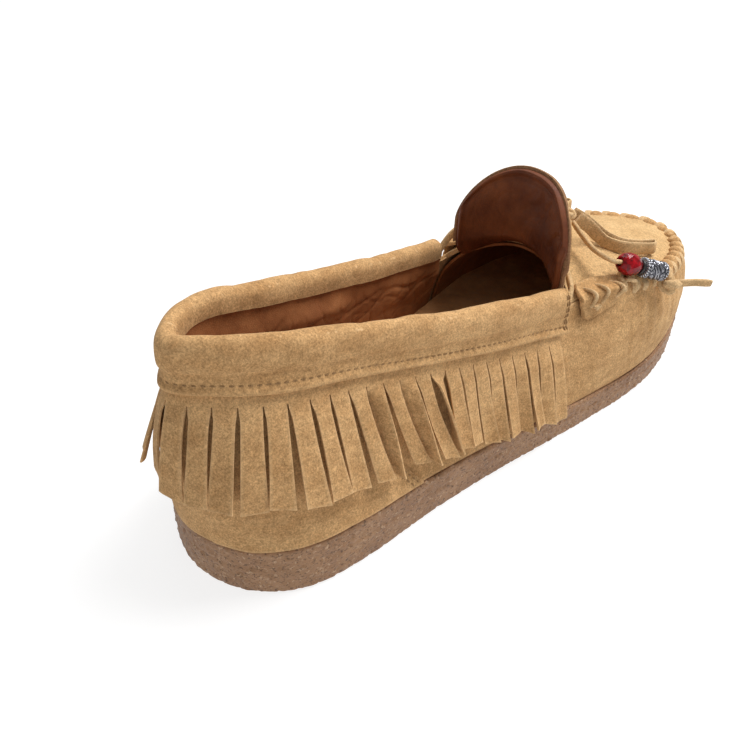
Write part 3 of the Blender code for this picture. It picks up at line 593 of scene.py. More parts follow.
# === Camera ===
def make_camera():
    """The camera, at the photograph's viewing angle."""
    yaw, pitch, roll = (math.radians(a) for a in (CAMERA_YAW, CAMERA_PITCH, CAMERA_ROLL))
    forward = Vector((math.sin(yaw) * math.cos(pitch), math.cos(yaw) * math.cos(pitch),
                      -math.sin(pitch)))
    level = Vector((math.cos(yaw), -math.sin(yaw), 0.0))
    above = level.cross(forward)
    right = level * math.cos(roll) + above * math.sin(roll)
    up = above * math.cos(roll) - level * math.sin(roll)
    data = bpy.data.cameras.new("camera")
    data.lens, data.sensor_width, data.clip_start = CAMERA_LENS, CAMERA_SENSOR, 0.01
    data.shift_x, data.shift_y = CAMERA_SHIFT
    camera = bpy.data.objects.new("camera", data)
    turn = Matrix((right, up, -forward)).transposed().to_4x4()
    camera.matrix_world = Matrix.Translation(Vector(CAMERA_PLACE) * MM) @ turn
    bpy.context.collection.objects.link(camera)
    bpy.context.scene.camera = camera


make_camera()

# === Cords: the beaded tails and the bow ===
BEAD_START = 4.2               # from the straight part's start to the first bead
BEAD_STRETCH = 26.5            # the straight part of a tail, with its beads
BORE = 1.55                    # the radius of every bead's hole
GLASS_HALF, RING_HALF, SILVER_HALF = 4.6, 0.5, 5.35      # the beads' half lengths
GLASS_FACETS = 10
# Rings of the glass bead: place along its half length, radius, and turn in facets.
GLASS_ROWS = [(-1.0, BORE, 0.0), (-1.0, 2.15, 0.0), (-0.68, 3.35, 0.5), (-0.24, 3.98, 0.0),
              (0.24, 3.98, 0.5), (0.68, 3.35, 0.0), (1.0, 2.15, 0.5), (1.0, BORE, 0.5)]
RING_OUTLINE = [(-1, BORE), (-1, 2.3), (-0.6, 2.62), (0, 2.75), (0.6, 2.62), (1, 2.3), (1, BORE)]
SILVER_BODY, SILVER_RIM = 3.20, 3.45                     # radii
SCROLL_RISE, PETAL_RISE, CORD_RISE, RIM_ROUNDING = 0.30, 0.16, 0.14, 0.75
TAIL_POINTS = 110
TAIL_TURNS = (45, 60)          # between these points a tail turns from its edge to its face
TAIL_TAPER = 0.12              # how much smaller its ends are
STOPPER_KNOT = ((3.1, 2.8, 1.9), 2.9, 2.3)               # radii, lace width and thickness
BOW_KNOT, BOW_WRAP = ((2.6, 2.4, 3.6), 3.2, 1.8), (4.0, 1.5)
TAIL_WIDTH, TAIL_THICKNESS = 2.9, 1.35
LOOP_WIDTH, LOOP_THICKNESS = 4.8, 1.2
KNOT_CENTRE = (5.0, 129.0, 67.4)
# The lace's width direction where it leaves the knot lying on its edge.
ON_EDGE = {"medial": (-0.57, 0.54, -0.62), "lateral": (0.57, 0.54, -0.62)}
TAILS = {
    "medial": {"from_knot": [(10.6, 129.2, 66.2), (17.0, 127.0, 63.8), (23.6, 125.0, 61.9)],
               "start": (30.0, 126.0, 60.2), "along": (0.376, 0.858, -0.347),
               "stopper": (42.2, 150.6, 46.6),
               "end": [(44.6, 153.8, 46.4), (48.0, 159.4, 46.0), (51.5, 165.0, 45.0)]},
    "lateral": {"from_knot": [(-0.6, 129.2, 66.2), (-7.0, 127.8, 64.4), (-13.0, 126.8, 62.6)],
                "start": (-18.0, 128.6, 60.8), "along": (-0.300, 0.890, -0.343),
                "stopper": (-29.6, 154.2, 47.8),
                "end": [(-32.4, 157.6, 47.2), (-36.0, 163.0, 46.4), (-39.5, 168.4, 45.2)]},
}
LOOP_ROUTES = {
    "medial": [(11.0, 131.4, 67.4), (13.2, 137.2, 62.6), (15.2, 140.6, 58.8), (18.2, 142.6, 56.6),
               (22.6, 147.0, 54.8), (25.6, 154.5, 52.8), (27.4, 161.8, 51.2), (26.7, 163.9, 51.0),
               (25.3, 163.2, 51.3), (23.8, 156.0, 52.9), (20.8, 148.8, 54.9), (16.4, 144.6, 57.3),
               (12.6, 142.0, 60.2), (9.4, 138.2, 64.0), (7.4, 133.0, 67.6)],
    "lateral": [(0.4, 133.0, 68.0), (-1.6, 137.4, 65.0), (-3.8, 142.4, 61.6), (-6.4, 148.0, 58.8),
                (-9.4, 155.5, 56.4), (-12.2, 162.4, 54.6), (-15.0, 164.4, 53.9),
                (-16.6, 161.4, 54.3), (-14.8, 153.4, 56.4), (-12.4, 146.6, 58.6),
                (-9.6, 141.4, 61.2), (-6.4, 137.4, 64.2), (-4.4, 133.4, 66.8)],
}


def spokes(axis):
    """Two directions square to an axis and to each other."""
    side = unit(np.cross(axis, (0, 0, 1.0)))
    return side, np.cross(side, axis)


def ring_of(centre, axis, along, radius, count, turn=0.0):
    """Points round an axis."""
    side, up = spokes(axis)
    angles = 2 * np.pi * (np.arange(count) + turn) / count
    radius = np.broadcast_to(np.asarray(radius, float), angles.shape)[:, None]
    return (centre + axis * along
            + (side * np.cos(angles)[:, None] + up * np.sin(angles)[:, None]) * radius)


def glass_bead(centre, axis):
    """A barrel of flat triangular facets with a hole through it."""
    points = np.vstack([ring_of(centre, axis, GLASS_HALF * t, r, GLASS_FACETS, turn)
                        for t, r, turn in GLASS_ROWS])
    faces = []
    for row in range(len(GLASS_ROWS)):
        following = (row + 1) % len(GLASS_ROWS)
        here, there = row * GLASS_FACETS, following * GLASS_FACETS
        leads = GLASS_ROWS[row][2] > GLASS_ROWS[following][2]
        for k in range(GLASS_FACETS):
            n = (k + 1) % GLASS_FACETS
            a, b, c, d = here + k, here + n, there + n, there + k
            faces += [(a, b, c, c), (a, c, d, d)] if leads else [(a, b, d, d), (b, c, d, d)]
    return points, np.array(faces)


def silver_bead(centre, axis):
    """A cast barrel with corded rims and raised scrolls."""
    around, rows = 120, 72
    t = np.linspace(-1, 1, rows)
    angle = 2 * np.pi * np.arange(around) / around
    tt, aa = np.meshgrid(t, angle, indexing="ij")
    field = np.sin(4 * aa + 2.6 * np.sin(np.pi * 1.5 * tt)) * np.cos(np.pi * 2.1 * tt + 2 * aa)
    scroll = ease(np.abs(field), 0.22, 0.62)
    petals = ease(np.cos(6 * aa) * np.cos(3.2 * np.pi * tt), 0.45, 0.9)
    body = SILVER_BODY + SCROLL_RISE * scroll + PETAL_RISE * petals
    cord = SILVER_RIM + CORD_RISE * np.cos(22 * aa + 16 * tt)
    rim = ease(np.abs(tt), 0.80, 0.84)
    radius = body * (1 - rim) + cord * rim - RIM_ROUNDING * ease(np.abs(tt), 0.93, 1.0)
    rings = [ring_of(centre, axis, SILVER_HALF * t[i], radius[i], around) for i in range(rows)]
    rings += [ring_of(centre, axis, SILVER_HALF * s, BORE, around) for s in (1.0, -1.0)]
    return sweep(rings, closed=True)


def spacer_ring(centre, axis):
    """A thin rounded washer."""
    return sweep([ring_of(centre, axis, RING_HALF * t, r, 48) for t, r in RING_OUTLINE],
                 closed=True)


def overhand_knot(centre, axis, radii, width, thickness):
    """A tight knot: a strap run round a trefoil."""
    side, up = spokes(axis)
    t = np.linspace(0, 2 * np.pi, 90, endpoint=False)
    flat = np.stack([np.sin(t) + 2 * np.sin(2 * t), np.cos(t) - 2 * np.cos(2 * t)]) / 3
    route = (centre + np.outer(flat[0] * radii[0], side) + np.outer(flat[1] * radii[1], up)
             + np.outer(-np.sin(3 * t) * radii[2], axis))
    route = np.vstack([route, route[:1]])
    return swept_strap(route, axis, strap_section(width, thickness))


def worn(route, seed, amount=0.12):
    """A strap's width direction, leaning a little from place to place as cut lace does."""
    lean = ripples(route, 14.0, seed) * amount
    return np.stack([lean, lean[::-1] * 0.7, np.ones(len(route))], -1)


def make_tail(side, seed):
    """A lace tail that runs through its beads and a stopper knot to its cut end."""
    tail = TAILS[side]
    start, along = np.array(tail["start"]), unit(np.array(tail["along"]))
    straight = [start + along * k for k in np.linspace(0, BEAD_STRETCH, 7)]
    points = tail["from_knot"] + straight + [tail["stopper"]] + tail["end"]
    route = smooth_route(points, TAIL_POINTS)
    turned = ease(np.arange(TAIL_POINTS), *TAIL_TURNS)[:, None]
    across = np.array(ON_EDGE[side]) * (1 - turned) + worn(route, seed) * turned
    section = strap_section(TAIL_WIDTH, TAIL_THICKNESS)
    lace = make_piece(side + "_lace", swept_strap(route, across, section, TAIL_TAPER),
                      LACE, (side + "_lace_tail", side + "_tail_end"))
    knot_axis = unit(np.array(tail["end"][0]) - straight[-1])
    knot = make_piece(side + "_stopper",
                      overhand_knot(np.array(tail["stopper"]), knot_axis, *STOPPER_KNOT),
                      LACE, (side + "_stopper_knot",))
    centre = start + along * BEAD_START
    kinds = ((GLASS_HALF, glass_bead, GLASS, "_glass_bead", "_glass", 12),
             (RING_HALF, spacer_ring, BLACK, "_spacer_ring", "_bead_stack", 50),
             (SILVER_HALF, silver_bead, SILVER, "_silver_bead", "_silver", 60))
    for half, make, finish, node, body, sharp in kinds:
        centre = centre + along * half
        make_piece(side + node + "_detail", make(centre, along), finish,
                                (side + node,), side + body, sharp)
        centre = centre + along * (half + GAP)


def make_loop(side, seed):
    """One flat loop of the bow, standing on its edge."""
    route = smooth_route(LOOP_ROUTES[side], 90)
    section = strap_section(LOOP_WIDTH, LOOP_THICKNESS)
    loop = make_piece(side + "_loop", swept_strap(route, worn(route, seed, 0.2), section), LACE,
                      (side + "_bow_loop",))


def make_bow_knot():
    """The bow's knot: crossed straps with one strap wrapped tight round the middle."""
    centre = np.array(KNOT_CENTRE)
    angles = np.linspace(0, 2 * np.pi, 60)
    wrap = np.stack([0.5 * np.sin(angles), 2.9 * np.cos(angles), 2.7 * np.sin(angles)], -1)
    parts = [overhand_knot(centre, np.array([1.0, 0.12, 0.0]), *BOW_KNOT),
             swept_strap(centre + wrap, (1.0, 0.1, 0.0), strap_section(*BOW_WRAP))]
    make_piece("bow_knot_straps", joined(parts), LACE, ("bow_knot",))


make_tail("medial", 3)
make_tail("lateral", 4)
make_loop("medial", 5)
make_loop("lateral", 6)
make_bow_knot()

# === The moc seam's puckers ===
# Length of one pucker along the seam: short on the medial side, long from the toe on.
PLEAT_STATIONS, PLEAT_LENGTHS = (11.0, 13.0), (5.8, 8.4)
SEAM_START, SEAM_STOP = 8.75, 17.25
LIP = 1.15                     # the rolled edge's radius between puckers
LIP_RISE = 1.35                # and how much a pucker adds to it
LIP_TURN = math.radians(205)
LIP_STAND = 2.3                # how far a pucker lifts the rolled edge
BEAD_CLEAR = 5.3               # from a bead's axis to the middle of a turn of lace beside it
TURN, TURN_POINTS = (2.9, 1.4), 15       # a turn of the seam's lace: width and thickness
TURN_LIFT = 1.35               # from the rolled edge up to the middle of a turn
TURN_SLANT, SLANT_SPREAD = 0.48, 0.08    # how far a turn leans along the seam, in puckers
TURN_FROM, TURN_SWEEP = -62, 262         # degrees round the rolled edge
SEAM_FINE = np.linspace(6.5, 19.5, 1200)
SEAM_COUNT = np.cumsum(np.gradient(run_length(wall(SEAM_FINE, 1.0)))
                       / np.interp(SEAM_FINE, PLEAT_STATIONS, PLEAT_LENGTHS))


def pleat_at(u):
    """How many puckers along the seam station u lies."""
    return np.interp(np.asarray(u, float) % LAST, SEAM_FINE, SEAM_COUNT)


def station_at(count):
    """The station that lies this many puckers along the seam."""
    return np.interp(count, SEAM_COUNT, SEAM_FINE)


def puckered(u):
    """1 along the puckered seam and 0 beyond its ends."""
    u = np.asarray(u, float) % LAST
    starts = ease(u, SEAM_START - 0.5, SEAM_START + 0.3)
    return starts * ease(-u, -SEAM_STOP - 0.5, -SEAM_STOP + 0.3)


def pucker(u):
    """Rounded lobes along the seam with a sharp valley between each two."""
    return np.abs(np.sin(np.pi * pleat_at(u))) ** 0.6


PLEAT_WEIGHTS = np.random.default_rng(11).uniform(0.25, 1.0, 80)


def folds(u):
    """The folds that run down the wall from the puckers, some deep and some faint."""
    phase = pleat_at(u)
    weight = np.interp(phase, np.arange(80), PLEAT_WEIGHTS)
    return weight * np.cos(2 * np.pi * (phase - 0.5))


def wall_relief(u, v):
    """Soft leather relief on the upper: puckers under the seam, folds, and slow undulations."""
    below = (1 - v) * wall_height(u)
    place = wall(u, v)
    near = puckered(u)
    relief = near * 1.25 * (pucker(u) - 0.55) * np.exp(-np.clip(below, 0, None) / 3.6)
    sway = 0.035 * ripples(place, 22.0, 21)
    relief += near * 0.62 * folds(u + sway) * np.exp(-below / 13.0) * (1 - np.exp(-below / 3.0))
    flex = np.exp(-((place[..., 1] - 122.0) / 22.0) ** 2)
    relief += -0.30 * flex * creases(place * (1, 1, 0.6), 19.0, 22) * (1 - np.exp(-below / 8.0))
    return relief + 0.20 * ripples(place, 27.0, 23) + 0.07 * ripples(place, 8.0, 24)


def lip(u, angle, lift=0.0):
    """Points round the seam's rolled edge: the angle goes from its outer side over its top."""
    u, angle = np.broadcast_arrays(np.asarray(u, float), np.asarray(angle, float))
    normal = wall_normal(u, np.full(u.shape, 0.97))
    upward = unit(wall(u, 1.0) - wall(u, 0.93))
    relief = wall_relief(u, np.ones(u.shape))
    radius = 0.5 + puckered(u) * (LIP - 0.5 + LIP_RISE * pucker(u))
    stand = LIP_STAND * puckered(u) * pucker(u)
    centre = wall(u, 1.0) + normal * (relief - radius)[..., None] + upward * stand[..., None]
    reach = (radius + lift)[..., None]
    return (centre + normal * reach * np.cos(angle)[..., None]
            + upward * reach * np.sin(angle)[..., None])


# === Sole ===
SOLE_STEPS, SOLE_RUNGS = 840, 421
MOULD_LINE_AT, MOULD_LINE_DEPTH = 0.60, 0.22     # as a share of the sole's height, and deep
NICK_PITCH, NICK_DEPTH = 6.1, 0.75               # the nicks along the lower edge
RIB_PITCH, RIB_DEPTH = 5.2, 0.7                  # the tread's ribs


def make_outsole():
    """The crepe sole: a pitted side wall with a faint mould line, and a ribbed, level tread."""
    u = np.linspace(0, LAST, SOLE_STEPS, endpoint=False)[:, None]
    run = run_length(sole_edge(u[:, 0]))[:, None]
    fraction = np.array([0.0, 0.012, 0.03, 0.06, *np.linspace(0.1, 0.93, 24), 0.96, 0.985, 1.0])
    inset = np.interp(fraction, (0, 0.012, 0.03, 0.06, 0.5, 0.93, 0.96, 0.985, 1.0),
                      (1.1, 0.6, 0.3, 0.12, 0.0, 0.1, 0.22, 0.45, 0.9))
    edge = sole_edge(u)
    place = edge - outward(u) * inset[None, :, None]
    place[..., 2] = fraction * sole_height(edge[..., 1]) + spring(edge[..., 1])
    relief = 0.12 * ripples(place, 3.4, 31) + 0.07 * ripples(place, 1.7, 32)
    relief -= 0.38 * ease(ripples(place, 3.0, 33), 1.15, 1.7)
    relief += 0.30 * ease(ripples(place, 2.6, 34), 1.2, 1.75)
    relief -= MOULD_LINE_DEPTH * np.exp(-((fraction - MOULD_LINE_AT) / 0.022) ** 2)
    nick = np.clip(np.cos(2 * np.pi * run / NICK_PITCH + 0.8 * np.sin(run / 17.0)), 0, 1) ** 10
    relief -= NICK_DEPTH * nick * np.exp(-fraction / 0.085)
    middle = ease(fraction, 0.0, 0.08) * ease(-fraction, -1.0, -0.94)
    place = place + outward(u) * (relief * (0.35 + 0.65 * middle))[..., None]

    def tread(stations):
        edge = sole_edge(stations, inset[0])
        edge[..., 2] = spring(edge[..., 1])
        return edge

    def insole_side(stations):
        edge = sole_edge(stations, inset[-1])
        edge[..., 2] = sole_top(edge[..., 1])
        return edge

    sides = (place.reshape(-1, 3), grid_faces(len(u), len(fraction), wraps=True))
    under, over = ladder(tread, SOLE_RUNGS, 60), ladder(insole_side, SOLE_RUNGS, 8)
    inside = np.minimum(np.linspace(0, 1, 60), np.linspace(1, 0, 60))[None, :] * 12
    rung = np.arange(SOLE_RUNGS)
    ends = np.clip(np.minimum(rung, rung[::-1]) / 12.0, 0, 1)[:, None]
    shelter = ease(np.minimum(inside, ends), 0.05, 0.6)
    sway = 0.6 * ripples(under, 30.0, 35)
    ribs = ease(np.cos(2 * np.pi * under[..., 1] / RIB_PITCH + sway), -0.2, 0.4)
    under[..., 2] += shelter * (RIB_DEPTH * ribs + 0.12 + 0.08 * ripples(under, 3.0, 36))
    bottom = (under.reshape(-1, 3), grid_faces(*under.shape[:2])[:, ::-1])
    top = (over.reshape(-1, 3), grid_faces(*over.shape[:2]))
    make_piece("crepe_sole", joined([sides, bottom, top]), CREPE, ("outsole",))


# === Upper ===
def make_upper():
    """The wrap: turned in under the insole at its foot and rolled over the moc seam at its top."""
    u = np.linspace(0, LAST, 1560, endpoint=False)[:, None]
    v = np.linspace(0, 1, 52)[None, :]
    n = outward(u)
    foot = wall(u, 0.0)
    margin = np.array([11.0, 7.0, 3.0])[None, :, None]
    under = foot - n * margin
    under[..., 2] = sole_top(under[..., 1]) + GAP
    over = foot - n * np.maximum(margin, UPPER)
    over[..., 2] = sole_top(over[..., 1]) + GAP + UPPER
    tuck = ease(v, 0.0, 0.03)
    face = wall(u, v, wall_relief(u, v) * tuck - 0.35 * (1 - tuck))
    back = wall(u, np.maximum(v, 0.035), -UPPER)
    angles = np.linspace(0, LIP_TURN, 14)[None, 1:]
    outer = np.concatenate([under, face, lip(u, angles)], axis=1)
    inner = np.concatenate([over, back, lip(u, angles, -0.45)], axis=1)
    faces = grid_faces(*outer.shape[:2], wraps=True)
    make_piece("suede_wrap", shell(outer, inner, faces), TAN, ("upper_wrap",))


def clear_of_beads(path):
    """The lace's turns, pressed out of the space in which the beads slide along their tails."""
    for tail in TAILS.values():
        start, along = np.array(tail["start"]), unit(np.array(tail["along"]))
        reach = (path - start) @ along
        off = path - start - reach[:, None] * along
        away = np.linalg.norm(off, axis=1)
        beside = ease(reach, -2.0, 0.5) * ease(-reach, -BEAD_STRETCH - 0.5, -BEAD_STRETCH + 2.0)
        push = beside * np.clip(BEAD_CLEAR - away, 0, None)
        path = path + off / away[:, None] * push[:, None]
    return path


def seam_stitches():
    """The lace's slanted turns over the seam, one in each valley between two puckers."""
    first = math.ceil(float(pleat_at(SEAM_START - 0.1)))
    last = math.floor(float(pleat_at(SEAM_STOP + 0.1)))
    draw = np.random.default_rng(12)
    section = strap_section(*TURN, 10)
    turns = []
    t = np.linspace(0, 1, TURN_POINTS)
    angles = np.radians(TURN_FROM + TURN_SWEEP * t)
    for number in range(first, last + 1):
        slant = TURN_SLANT + draw.uniform(-SLANT_SPREAD, SLANT_SPREAD)
        stations = station_at(number + slant * (t - 0.5))
        valley = station_at(np.full(TURN_POINTS, float(number)))
        path = lip(valley, angles, TURN_LIFT) + (wall(stations, 1.0) - wall(valley, 1.0))
        path = clear_of_beads(path)
        along = wall(stations + 0.02, 1.0) - wall(stations - 0.02, 1.0)
        turns.append(swept_strap(path, along, section))
    return joined(turns)


def make_plug():
    """The smooth top panel, gathered a little where it meets the seam."""
    a = np.linspace(0, 0.975, 240)[:, None]
    b = np.linspace(0, 1, 110)[None, :]
    width = np.linalg.norm(plug_point(a, 1.0) - plug_point(a, 0.0), axis=-1)
    inset = 0.7 / width
    b = inset + (1 - 2 * inset) * b
    side = np.minimum(b, 1 - b) * width
    near_u = np.where(b > 0.5, PLUG_BACK_MEDIAL + (TOE - PLUG_BACK_MEDIAL) * a,
                      PLUG_BACK_LATERAL + (TOE - PLUG_BACK_LATERAL) * a)
    toe_side = np.linalg.norm(plug_point(a, b) - wall(TOE, 1.0), axis=-1)
    side = np.minimum(side, toe_side)
    gather = puckered(near_u)
    place = plug_point(a, b)
    relief = gather * 0.4 * np.exp(-side / 1.4)
    relief -= gather * 0.35 * (1 - pucker(near_u)) * np.exp(-side / 3.4)
    relief += 0.28 * ripples(place, 34.0, 41) + 0.06 * ripples(place, 9.0, 42)
    outer = plug_point(a, b, relief)
    inner = plug_point(a, b, -UPPER)
    # Its suede is the paler copy of the tan, painted light for the plug's lit top.
    make_piece("plug_panel", layer(outer, inner), LIT_PLUG_TAN, ("plug",))


EAR_REACH = (7.42, 8.62)
EAR_ON_PLUG = (4.4, 2.4)       # rows of the ear that lie on the plug, measured in from the seam
EAR_DROP, EAR_THICKNESS, EAR_MITRE = 0.175, 1.2, 0.75
# How far down the ear hangs, as a share of EAR_DROP, from its rounded heel end to its toe end.
EAR_OUTLINE = [(0.0, 0.66), (0.05, 0.86), (0.12, 0.97), (0.22, 1.0), (0.45, 0.94), (0.7, 0.7),
               (0.88, 0.42), (1.0, 0.16)]
EAR_ROWS = 7                   # two on the plug, one over the seam and four down the wall
EAR_GRID = (90, 60)
EAR_WALL_SHARES = (0.0, 0.3, 0.55, 0.8, 1.0)
EAR_TURNS, EAR_LACE = (0.2, 0.46, 0.76), (1.5, 1.3)      # heel-to-toe places, lace section
EAR_KNOT_AT, EAR_KNOT_STAND, EAR_KNOT = (0.34, 3.9), 2.6, ((1.25, 0.7, 0.35), 1.2, 1.0)
TOE_TURNS, TOE_TURN_LACE = (8.62, 8.93), (2.7, 1.5)      # stations from the ear's toe end on


def ear_skin(side, t, row, offset):
    """Points of the ear at heel-to-toe places t (a column) and rows 0 to 6, plug to lower edge."""
    medial_u = EAR_REACH[0] + (EAR_REACH[1] - EAR_REACH[0]) * t[:, 0]
    u = medial_u if side == "medial" else LAST - medial_u
    a = (medial_u - PLUG_BACK_MEDIAL) / (TOE - PLUG_BACK_MEDIAL)
    width = np.linalg.norm(plug_point(a, 1.0) - plug_point(a, 0.0), axis=-1)
    across = [reach / width for reach in EAR_ON_PLUG]
    if side == "medial":
        across = [1 - b for b in across]
    drop = EAR_DROP * np.interp(t[:, 0], *zip(*EAR_OUTLINE))
    base = [plug_point(a, b) for b in across]
    lift = [plug_normal(a, b) for b in across]
    base += [wall(u, 1.0 - drop * share) for share in EAR_WALL_SHARES]
    lift += [wall_normal(u, 1.0 - drop * share) for share in EAR_WALL_SHARES]
    lift[2] = lift[2] + EAR_MITRE * lift[1]
    base, lift = (np.stack(rows).reshape(EAR_ROWS, -1) for rows in (base, lift))
    rows = np.broadcast_to(row, (len(t), np.shape(row)[-1]))
    place = on_curve(base, rows[0], closed=False).reshape(-1, len(t), 3)
    away = on_curve(lift, rows[0], closed=False).reshape(-1, len(t), 3)
    return np.swapaxes(place, 0, 1) + np.swapaxes(away, 0, 1) * np.asarray(offset)[..., None]


def make_ear(side):
    """A small flap folded over the seam beside the throat, held by turns of lace."""
    t = np.linspace(0, 1, EAR_GRID[0])[:, None]
    row = np.linspace(0, EAR_ROWS - 1, EAR_GRID[1])[None, :]
    near_edge = np.minimum(np.minimum(t * 22, (1 - t) * 26), (EAR_ROWS - 1 - row) * 2.6)
    edge = 0.5 * (1 - ease(near_edge, 0.0, 0.9))
    plump = np.sin(np.pi * np.clip(t * 1.05, 0, 1)) ** 0.6 * ease(-row, -5.6, -2.5)
    dimple = 0.45 * np.exp(-((t - 0.36) / 0.09) ** 2) * np.exp(-((row - 2.4) / 1.2) ** 2)
    place = ear_skin(side, t, row, np.zeros(EAR_GRID))
    stand = 0.45 + 1.0 * plump - dimple + 0.22 * ripples(place, 7.0, 43)
    stand = stand + 0.7 * np.exp(-(t / 0.07) ** 2) * ease(-row, -6.0, -4.0)
    outer = ear_skin(side, t, row, stand + EAR_THICKNESS - edge)
    inner = ear_skin(side, t, row, stand + edge * 0.4)
    make_piece(side + "_ear_flap", layer(outer, inner), TAN, (side + "_ear",))
    turns = []
    s = np.linspace(0, 1, TURN_POINTS)
    rows = np.linspace(1.0, 3.5, TURN_POINTS)
    lift = 2.0 + EAR_THICKNESS - 1.9 * np.abs(2 * s - 1) ** 3
    for middle in EAR_TURNS:
        column = (middle + 0.075 * np.sin(np.pi * s))[:, None]
        path = np.stack([ear_skin(side, column[k:k + 1], rows[None, k:k + 1], lift[k])[0, 0]
                         for k in range(TURN_POINTS)])
        turns.append(swept_strap(path, np.gradient(path, axis=0)[::-1] + (0.3, 1.0, 0),
                                 strap_section(*EAR_LACE, 10)))
    knot_t, knot_row = (np.array([[at]]) for at in EAR_KNOT_AT)
    end = ear_skin(side, knot_t, knot_row, EAR_KNOT_STAND)[0, 0]
    facing = unit(outward(EAR_REACH[0] + 0.4 if side == "medial" else LAST - EAR_REACH[0] - 0.4))
    turns.append(overhand_knot(end, facing, *EAR_KNOT))
    return joined(turns + ear_loops(side))


def ear_loops(side):
    """Two fat turns of lace past the ear's toe end, and the loop left standing between them."""
    def station(u):
        return u if side == "medial" else LAST - u

    parts = []
    s = np.linspace(0, 1, 17)
    for middle in TOE_TURNS:
        stations = station(middle + 0.12 * (s - 0.5))
        path = lip(stations, np.radians(-70 + 250 * s), 1.1 + 0.8 * np.sin(np.pi * s))
        path = clear_of_beads(path)
        across = wall(stations + 0.02, 1.0) - wall(stations - 0.02, 1.0)
        parts.append(swept_strap(path, across, strap_section(*TOE_TURN_LACE, 10)))
    around = np.linspace(0, 2 * np.pi, 31)
    stations = station(8.80 + 0.20 * np.cos(around))
    path = lip(stations, np.radians(62 + 26 * np.sin(around)), 2.9 + 0.5 * np.cos(around))
    path = clear_of_beads(path)
    across = wall_normal(stations, np.full(31, 0.97))
    parts.append(swept_strap(path, across, strap_section(1.9, 1.4, 10)))
    return parts


def stitches(places, normals, pitch, length=None, width=0.55, rise=0.16):
    """Short thread stitches laid along a line of places; the normals point off the leather."""
    steps = run_length(places)
    length = length or pitch * 0.72
    section = strap_section(width, 0.42, 8)
    parts = []
    for middle in np.arange(pitch / 2, steps[-1], pitch):
        run = middle + np.linspace(-0.5, 0.5, 6) * length
        path = np.column_stack([np.interp(run, steps, places[:, k]) for k in range(3)])
        normal = np.column_stack([np.interp(run, steps, normals[:, k]) for k in range(3)])
        hump = rise - 0.42 * np.abs(np.linspace(-1, 1, 6)) ** 3
        path = path + normal * hump[:, None]
        parts.append(swept_strap(path, np.cross(normal, np.gradient(path, axis=0)), section))
    return joined(parts)


PATCH_REACH, PATCH_SLANT = 3.86, 1.25      # the patch's front seam, and how it leans back going up
PATCH_TOP = 0.74
PATCH_STAND, PATCH_THICKNESS = 0.12, 1.1


def patch_station(t, v):
    """Stations across the heel patch, from its lateral seam (t 0) to its medial one (t 1)."""
    return LAST + (PATCH_REACH - PATCH_SLANT * v) * (2 * t - 1)


def make_heel_patch():
    """The patch sewn over the heel, with two rows of stitches along each slanted front seam."""
    t, v = np.linspace(0, 1, 420)[:, None], np.linspace(0.004, PATCH_TOP, 44)[None, :]
    u = patch_station(t, v)
    edge = 0.28 * (1 - ease(np.minimum(t, 1 - t) * 250, 0.0, 1.0)) + 1.05 * ease(v, 0.50, PATCH_TOP)
    relief = wall_relief(u % LAST, v) + 0.12 * ripples(wall(u, v), 15.0, 51)
    outer = wall(u, v, PATCH_STAND + PATCH_THICKNESS + relief - edge)
    inner = wall(u, v, PATCH_STAND - 0.25)
    make_piece("heel_patch_panel", layer(outer, inner), TAN, ("heel_patch",))
    rows = []
    line = np.linspace(0.02, 0.55, 60)
    for end, inwards in ((1.0, -1), (0.0, 1)):
        for inset in (0.052, 0.125):
            stations = patch_station(np.full(60, end), line) + inwards * inset
            stand = PATCH_STAND + PATCH_THICKNESS + wall_relief(stations % LAST, line)
            rows.append(stitches(wall(stations, line, stand), wall_normal(stations, line), 2.3))
    make_piece("heel_patch_thread", joined(rows), SHADED_THREAD, ())


# === Linings and footbed ===
def lining_depth(u):
    """How deep the lining lies behind the upper's face: deeper over the heel counter."""
    from_heel = np.minimum(u % LAST, LAST - u % LAST)
    return np.interp(from_heel, (3.8, 4.6), (4.3, 2.2))


def make_quarter_lining():
    """The leather lining of the heel and sides; its top runs up behind the collar's inner edge."""
    u = np.linspace(LATERAL_END + 0.02, MEDIAL_END + LAST - 0.02, 720)[:, None]
    v = np.linspace(0.06, 1.075, 64)[None, :]
    tucked = ease(v, 0.86, 1.04)
    depth = lining_depth(u) * (1 - tucked) + 0.9 * tucked
    place = wall(u, v)
    slack = ease(v, 0.3, 0.6) * ease(-v, -0.97, -0.86)
    wrinkles = creases(place * (1, 0.55, 1.6), 17.0, 61)
    wrinkles += 0.6 * creases(place * (0.7, 1, 1), 10.0, 62)
    lateral = 0.35 + 0.65 * ease(u, LATERAL_END, LATERAL_END + 0.5) * ease(-u, -25.5, -24.0)
    relief = slack * lateral * 0.55 * wrinkles + 0.30 * ripples(place, 21.0, 63) * slack
    outer = wall(u, v, -depth)
    inner = wall(u, v, -depth - 1.0 + relief)
    low = sole_top(outer[:, 0, 1]) + 2.1
    outer[:, 0, 2] = inner[:, 0, 2] = low
    make_piece("quarter_lining_leather", layer(outer, inner), BROWN, ("quarter_lining",))


def vamp_arch(a, t, depth):
    """Points of the toe lining: t runs over the foot from the lateral sole to the medial one."""
    medial_u = PLUG_BACK_MEDIAL + (TOE - PLUG_BACK_MEDIAL) * a
    lateral_u = PLUG_BACK_LATERAL + (TOE - PLUG_BACK_LATERAL) * a
    height = np.clip(np.minimum(t, 1 - t) / 0.27, 0, 1)
    v = 0.1 + 0.8 * height
    sides = np.where((t < 0.5)[..., None], wall(lateral_u, v, -depth), wall(medial_u, v, -depth))
    over = plug_point(a, np.clip((t - 0.25) / 0.5, 0.08, 0.92), -depth)
    blend = ease(np.minimum(t, 1 - t), 0.24, 0.30)[..., None]
    return sides * (1 - blend) + over * blend


